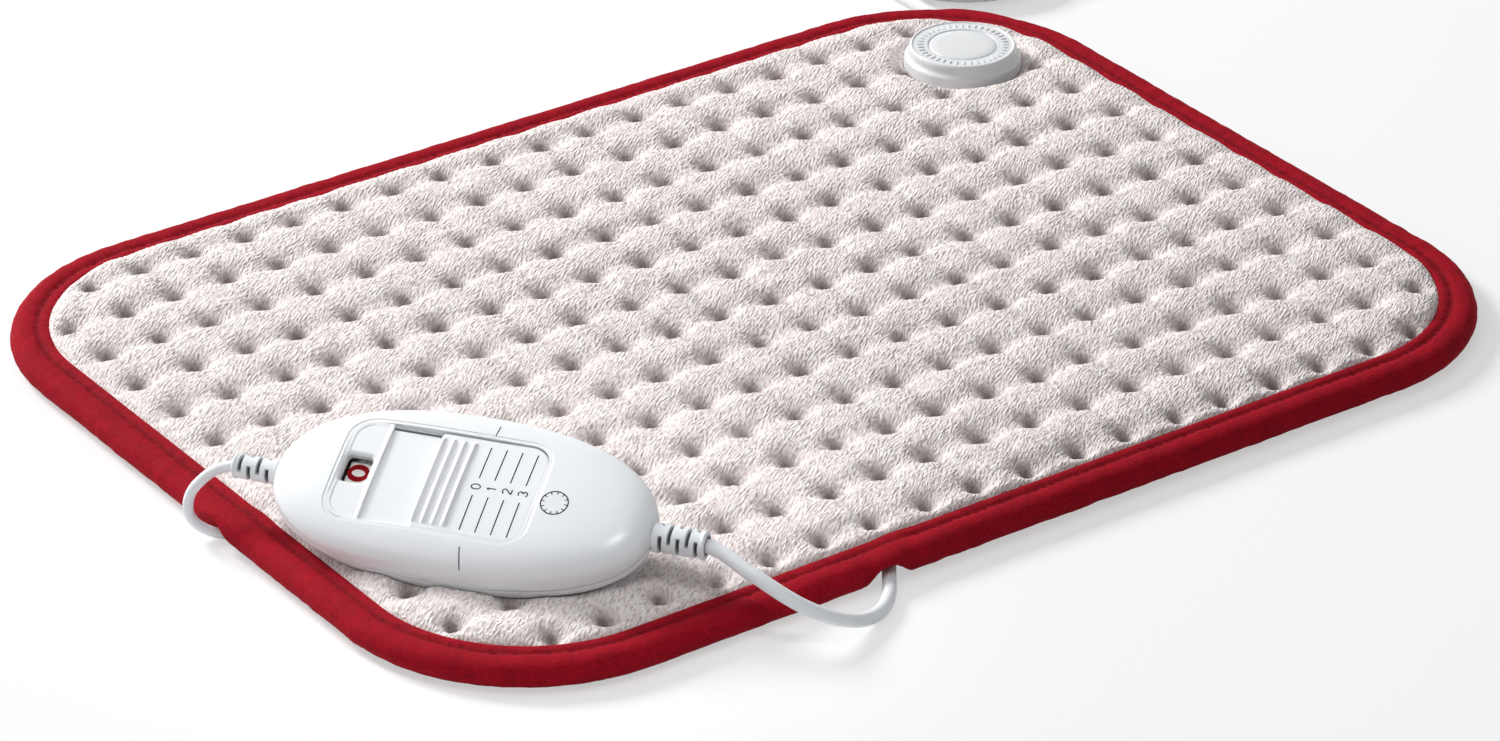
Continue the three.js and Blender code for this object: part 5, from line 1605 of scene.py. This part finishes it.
@dataclass
class Figures:
    """The red figures on the number drum's four faces."""

    axis_u: float = -34.8
    axis_w: float = 2.1
    face: float = 4.1
    ink: float = 0.05
    aim: Pair = (-0.35, 0.75)
    size: Pair = (7.3, 6.2)
    width: float = 1.45
    swell: float = 0.38

    def turned(self, points: Array | Triple, turn: float) -> Array:
        """Places on a face of the drum, whose heights count from its axis, turned and in the pad's axes."""
        u, v, w = np.moveaxis(np.asarray(points, float), -1, 0)
        cos, sin = math.cos(turn), math.sin(turn)
        return CONTROLLER.out(xyz(self.axis_u + u * cos + w * sin, v, self.axis_w - u * sin + w * cos))

    def build(self, palette: Palette) -> None:
        """Prints 0 on the face behind the window, and 1 to 3 on the faces that follow as the drum turns."""
        form = Form()
        for k in range(4):
            marks = Marks(lambda u, v: 0.0 * u, self.face + self.ink, lambda p, k=k: self.turned(p, -k * TURN / 4.0))
            marks.form = form
            marks.figure(k, self.aim, self.size, self.width, self.swell)
        form.piece("drum_figures", palette.ink_red, Slot.DARK, body=Body.DRUM, sharp=180.0)


@dataclass
class Boot:
    """A strain relief: a tapered sleeve with rows of slots, each row's two slots turned against the next's."""

    side: int
    radius: float
    length: float
    rows: int
    bore: float
    start: float = 62.7
    sides: int = 96
    rings: int = 130
    taper: float = 0.9
    slot_depth: float = 1.7
    slot_length: Pair = (0.27, 0.36)
    slot_breadth: Pair = (-0.62, -0.35)
    collar: float = 1.6
    plain_end: float = 1.2
    lip: float = 0.35
    lip_from_end: float = 0.6
    lip_width: float = 0.7
    end_draw: float = 0.45
    end_rounding: float = 0.5
    foot_draw: float = 0.5
    foot_rounding: float = 0.6
    mouth: tuple[Pair, ...] = ((0.25, -0.02), (0.0, 0.4), (0.0, 6.0))

    def build(self, palette: Palette, name: str, replaced: str) -> None:
        """Makes the boot: its radius at a travel and an angle is the taper less the slots' depth there.

        Args:
            palette: The finishes.
            name: The object's name.
            replaced: The frame's node that it stands for.
        """
        angle = circle(self.sides)
        s, a = np.meshgrid(np.linspace(0.0, self.length, self.rings), angle, indexing="ij")
        place = (s - self.collar) / ((self.length - self.collar - self.plain_end) / self.rows)
        row = np.floor(place)
        along = smooth(0.5 - np.abs(place - row - 0.5), *self.slot_length)
        across = smooth(np.cos(2.0 * (a + row * TURN / 4.0)), *self.slot_breadth)
        slots = along * across * ((row >= 0) & (row < self.rows))
        r = self.radius * (1.0 - (1.0 - self.taper) * s / self.length) - self.slot_depth * slots
        r += self.lip * bell(s - self.length + self.lip_from_end, self.lip_width)
        r -= self.end_draw * smooth(s, self.length - self.end_rounding, self.length)
        r -= self.foot_draw * smooth(self.foot_rounding - s, 0.0, self.foot_rounding)
        body = xyz(self.side * (self.start + s), r * np.cos(a), r * np.sin(a))
        cos, sin = np.cos(angle), np.sin(angle)
        mouth = [
            xyz(self.side * (self.start + self.length - deep), (self.bore + more) * cos, (self.bore + more) * sin)
            for more, deep in self.mouth
        ]
        # Painted shade in the slots, and all over the bore's mouth.
        tone = np.concatenate([slots, np.ones((len(mouth), self.sides))])
        form = Form().grid(CONTROLLER.out(np.concatenate([body, mouth])), around=True, tone=tone)
        form.piece(name, palette.boot, Slot.CORD, replaced, sharp=38.0)


# Cords


@dataclass
class Cords:
    """Both cords, and the tie round the wound length."""

    sides: int = 16
    spacing: float = 1.8
    tie_angle: float = math.radians(-60)
    tie_room: float = 0.7
    tie_power: float = 0.35
    tie_section: tuple[Pair, ...] = (
        (-4.0, -0.25), (-3.9, 0.4), (-2.0, 0.4), (2.0, 0.4), (3.9, 0.4), (4.0, -0.25), (2.0, -0.3), (-2.0, -0.3),
    )

    def pad_cord(self, palette: Palette) -> None:
        """Makes the thin cord from the controller round the pad's edge and under the pad to the connector."""
        line = resample(spline(PAD_CORD_ROUTE, 12), self.spacing)
        form = Form().grid(tube(line, PAD_CORD_DIAMETER / 2.0, self.sides), around=True)
        made = form.piece("pad_lead", palette.cord, Slot.CORD, "pad_cord", sharp=60.0)

    def mains(self, palette: Palette, with_pieces: list[bpy.types.Object]) -> None:
        """Makes the mains lead, from the controller under the pad to its coil and plug, as one tube."""
        line = resample(spline(np.vstack([spline(MAINS_ROUTE, 2)[:-1], COIL.line()]), 8), self.spacing)
        form = Form().grid(tube(line, MAINS_DIAMETER / 2.0, self.sides), around=True)
        made = form.piece("mains_lead", palette.cord, Slot.CORD, "mains_cord", "mains_coil", sharp=60.0)

    def tie(self, palette: Palette) -> bpy.types.Object:
        """Makes the strap round the turns: a rounded rectangle with a thin section carried round it."""
        half_u = (COIL.turns * COIL.pitch + MAINS_DIAMETER) / 2.0 + self.tie_room
        low = COIL.low - MAINS_DIAMETER / 2.0 - self.tie_room
        high = COIL.low + COIL.layer + MAINS_DIAMETER / 2.0 + self.tie_room
        across, up = squared(circle(72), self.tie_power)
        outline = np.stack([across * half_u, (low + high) / 2.0 + up * (high - low) / 2.0], axis=1)
        ahead = headings(outline, closed=True)
        away = np.stack([ahead[:, 1], -ahead[:, 0]], axis=1)
        x, y = COIL.centre()
        cos, sin = math.cos(self.tie_angle), math.sin(self.tie_angle)
        rings = []
        for width, thick in self.tie_section:
            radial, z = (outline + away * thick).T
            radial = COIL.radius + radial
            rings.append(xyz(x + cos * radial - sin * width, y + sin * radial + cos * width, z))
        form = Form().grid(np.stack(rings + rings[:1]), around=True)
        return form.piece("lead_tie", palette.dark, Slot.DARK, "coil_tie", sharp=50.0)


@dataclass
class Plug:
    """The flat two-pin plug: a ribbed relief that widens into a shallow body."""

    length: float = 56.0
    pin_radius: float = 2.0
    pin_length: float = 19.0
    pin_spacing: float = 18.6
    rib_depth: float = 0.7
    rib_pitch: float = 3.4
    ribbed: Pair = (2.0, 17.0)
    sections: tuple[tuple[float, ...], ...] = (
        (0.0, 2.8, 2.8, 2.0), (0.15, 3.05, 3.05, 2.0), (8.0, 3.6, 3.6, 2.0), (18.0, 4.3, 4.3, 2.0),
        (20.0, 5.2, 4.7, 2.1), (22.5, 8.4, 5.3, 2.3), (26.0, 12.6, 6.1, 2.7), (31.0, 15.3, 6.6, 3.2),
        (38.0, 17.2, 6.8, 3.6), (46.0, 17.5, 6.8, 3.8), (53.0, 17.3, 6.7, 3.8), (55.2, 16.9, 6.4, 3.6),
        (56.0, 16.2, 5.7, 3.4),
    )

    def body(self) -> Array:
        """Rings of a rounded section along Y, from the cord's end to the front.

        Each ring is (a cos^(2/n), b sin^(2/n)), with the half width a, half thickness b and power n of its place.
        """
        table = np.array(self.sections).T
        runs = ((0.0, 20.0, 80), (20.0, 52.0, 50), (52.0, self.length, 12))
        y = np.unique(np.concatenate([np.linspace(*run) for run in runs]))[:, None]
        a, b, n = (np.interp(y, table[0], column) for column in table[1:])
        low, high = self.ribbed
        wave = 0.5 + 0.5 * np.cos(TURN * (y - low) / self.rib_pitch)
        groove = self.rib_depth * wave**3 * ((y > low) & (y < high))
        x, z = squared(circle(80)[None, :], 2.0 / n)
        rings = xyz((a - groove) * x, y, (b - groove) * z)
        pole = np.array([0.0, 1.0, 0.0])
        return np.concatenate([rings[:1] * pole, rings, rings[-1:] * (0.9, 1.0, 0.85), rings[-1:] * pole + pole * 0.05])

    def build(self, palette: Palette) -> list[bpy.types.Object]:
        """Makes the body and both pins, and returns them."""
        place = np.array([*COIL.plug_start(), COIL.plug_height])
        form = Form().grid(self.body() + place, around=True)
        made = [form.piece("mains_plug", palette.cord, Slot.CORD, "plug_body", sharp=45.0)]
        r, end = self.pin_radius, self.pin_length
        profile = np.array([
            (r, -3.0), (r, end - 2.2), (r * 0.97, end - 1.4), (r * 0.84, end - 0.7), (r * 0.6, end - 0.2),
            (r * 0.3, end - 0.02), (0.0, end),
        ])
        for number, side in ((1, -0.5), (2, 0.5)):
            pin = revolved(profile, 40)[..., [0, 2, 1]] + place + (side * self.pin_spacing, self.length, 0.0)
            form = Form().grid(pin, around=True)
            made.append(form.piece(f"pin_{number}", palette.brass, Slot.BRASS, f"plug_pin_{number}", sharp=50.0))
        return made


# The studio


@dataclass(frozen=True)
class Lamp:
    """A square soft lamp that looks at the pad's middle, in metres and watts."""

    name: str
    at: Triple
    size: float
    watts: float

    def light(self) -> None:
        """Hangs the lamp."""
        data = bpy.data.lights.new(self.name, "AREA")
        data.shape, data.size, data.energy = "SQUARE", self.size, self.watts
        aim(shown(self.name, data), self.at, (0.0, 0.0, 0.0))


def aim(made: bpy.types.Object, at: Triple, target: Array | Triple) -> None:
    """Puts a lamp at a place, looking at a target."""
    made.location = at
    made.rotation_mode = "QUATERNION"
    made.rotation_quaternion = (Vector(target) - Vector(at)).to_track_quat("-Z", "Y")


@dataclass
class Studio:
    """The camera at the photograph's angle, a pale floor, three soft lamps, a narrow beam and an even sky."""

    camera_at: Triple = (-1.05420, -1.49150, 0.98811)
    right: Triple = (0.8159, -0.5782, -0.0011)
    up: Triple = (0.2793, 0.3925, 0.8763)
    lens: float = 147.15
    sensor: float = 36.0
    sky: float = 0.17
    sky_colour: tuple[float, ...] = (0.97, 0.985, 1.0, 1.0)
    lamps: tuple[Lamp, ...] = (
        Lamp("key", (-0.65, 2.0, 1.45), 0.8, 71.0), Lamp("side", (-1.8, -0.5, 1.3), 1.2, 4.5),
        Lamp("top", (-0.2, 0.3, 2.3), 2.0, 11.0),
    )
    beam: float = 15.0
    beam_at: Triple = (-0.132, -0.28, 0.591)
    beam_target: Triple = (30.0, 0.0, 8.0)
    beam_angle: float = math.radians(12.0)
    beam_blend: float = 0.9
    beam_size: float = 0.12
    floor_half: float = 6.0
    floor_colour: Triple = (0.975, 0.978, 0.98)
    floor_share: float = 0.5

    def camera(self) -> None:
        """Sets the camera from its right and up directions."""
        data = bpy.data.cameras.new("view")
        data.lens, data.sensor_width = self.lens, self.sensor
        data.clip_start, data.clip_end = 0.05, 50.0
        made = shown("view", data)
        right = Vector(self.right).normalized()
        back = right.cross(Vector(self.up)).normalized()
        turn = Matrix((right, back.cross(right), back)).transposed()
        made.matrix_world = Matrix.Translation(Vector(self.camera_at)) @ turn.to_4x4()
        bpy.context.scene.camera = made

    def spot(self) -> None:
        """Adds a narrow soft beam that lifts the controller's face."""
        data = bpy.data.lights.new("reflector", "SPOT")
        data.energy, data.shadow_soft_size = self.beam, self.beam_size
        data.spot_size, data.spot_blend = self.beam_angle, self.beam_blend
        aim(shown("reflector", data), self.beam_at, CONTROLLER.out(self.beam_target) * MM)

    def world(self) -> None:
        """Makes the sky: white where it is seen, and a plain level where it lights."""
        world = bpy.data.worlds.new("sky")
        bpy.context.scene.world = world
        world.use_nodes = True
        nodes = Nodes(world.node_tree)
        light = nodes.tree.nodes["Background"]
        nodes.wire(light, {"Color": self.sky_colour, "Strength": self.sky})
        white = nodes.add("Background", "Background", {"Color": (1.0, 1.0, 1.0, 1.0)})
        mix = nodes.add("MixShader", "Shader", {"Fac": nodes.seen(), 1: light.outputs["Background"], 2: white})
        nodes.wire(nodes.tree.nodes["World Output"], {"Surface": mix})

    def floor(self) -> None:
        """Makes the floor, which shows white with the object's shadow and stays pale as it lights."""
        mesh = bpy.data.meshes.new("floor")
        corner = [(x * self.floor_half, y * self.floor_half, 0.0) for x, y in ((-1, -1), (1, -1), (1, 1), (-1, 1))]
        mesh.from_pydata(corner, [], [(0, 1, 2, 3)])
        recipe = Recipe("floor_white", self.floor_colour, 0.9)
        glow = recipe.add("Emission", "Emission", {})
        share = recipe.add("Math", "Value", {0: recipe.seen(), 1: self.floor_share}, operation="MULTIPLY")
        mix = recipe.add("MixShader", "Shader", {"Fac": share, 1: recipe.shader.outputs["BSDF"], 2: glow})
        recipe.wire(recipe.tree.nodes["Material Output"], {"Surface": mix})
        mesh.materials.append(recipe.material)
        shown("floor", mesh)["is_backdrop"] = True

    def build(self) -> None:
        """Makes the whole studio."""
        bpy.context.scene.view_settings.view_transform = "Standard"
        self.camera()
        for lamp in self.lamps:
            lamp.light()
        self.spot()
        self.world()
        self.floor()


def corners() -> list[list[float]]:
    """The lowest and highest corner of what is shown, as plain lists."""
    return [list(corner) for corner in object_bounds()]


def main() -> None:
    """Builds the object's looks in order."""
    logging.basicConfig(level=logging.INFO, format="%(name)s: %(message)s")
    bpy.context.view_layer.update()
    Studio().build()
    palette = Palette()
    palette.dress_frame()
    cords = Cords()
    cords.pad_cord(palette)
    plug = Plug().build(palette)
    cords.mains(palette, [cords.tie(palette), *plug])
    underneath = Underneath()
    fleece = Fleece()
    fleece.build(palette)
    Binding().build(palette, underneath)
    Lining().build(palette, underneath, fleece.tufts)
    ConnectorCap().build(palette)
    Housing().build(palette)
    Slider().build(palette)
    Figures().build(palette)
    Boot(-1, 4.15, 15.4, 4, PAD_CORD_DIAMETER / 2.0 + 0.2).build(palette, "pad_boot", "pad_cord_boot")
    Boot(1, 4.75, 17.4, 5, MAINS_DIAMETER / 2.0 + 0.2).build(palette, "mains_boot", "mains_cord_boot")


if __name__ == "__main__":
    main()
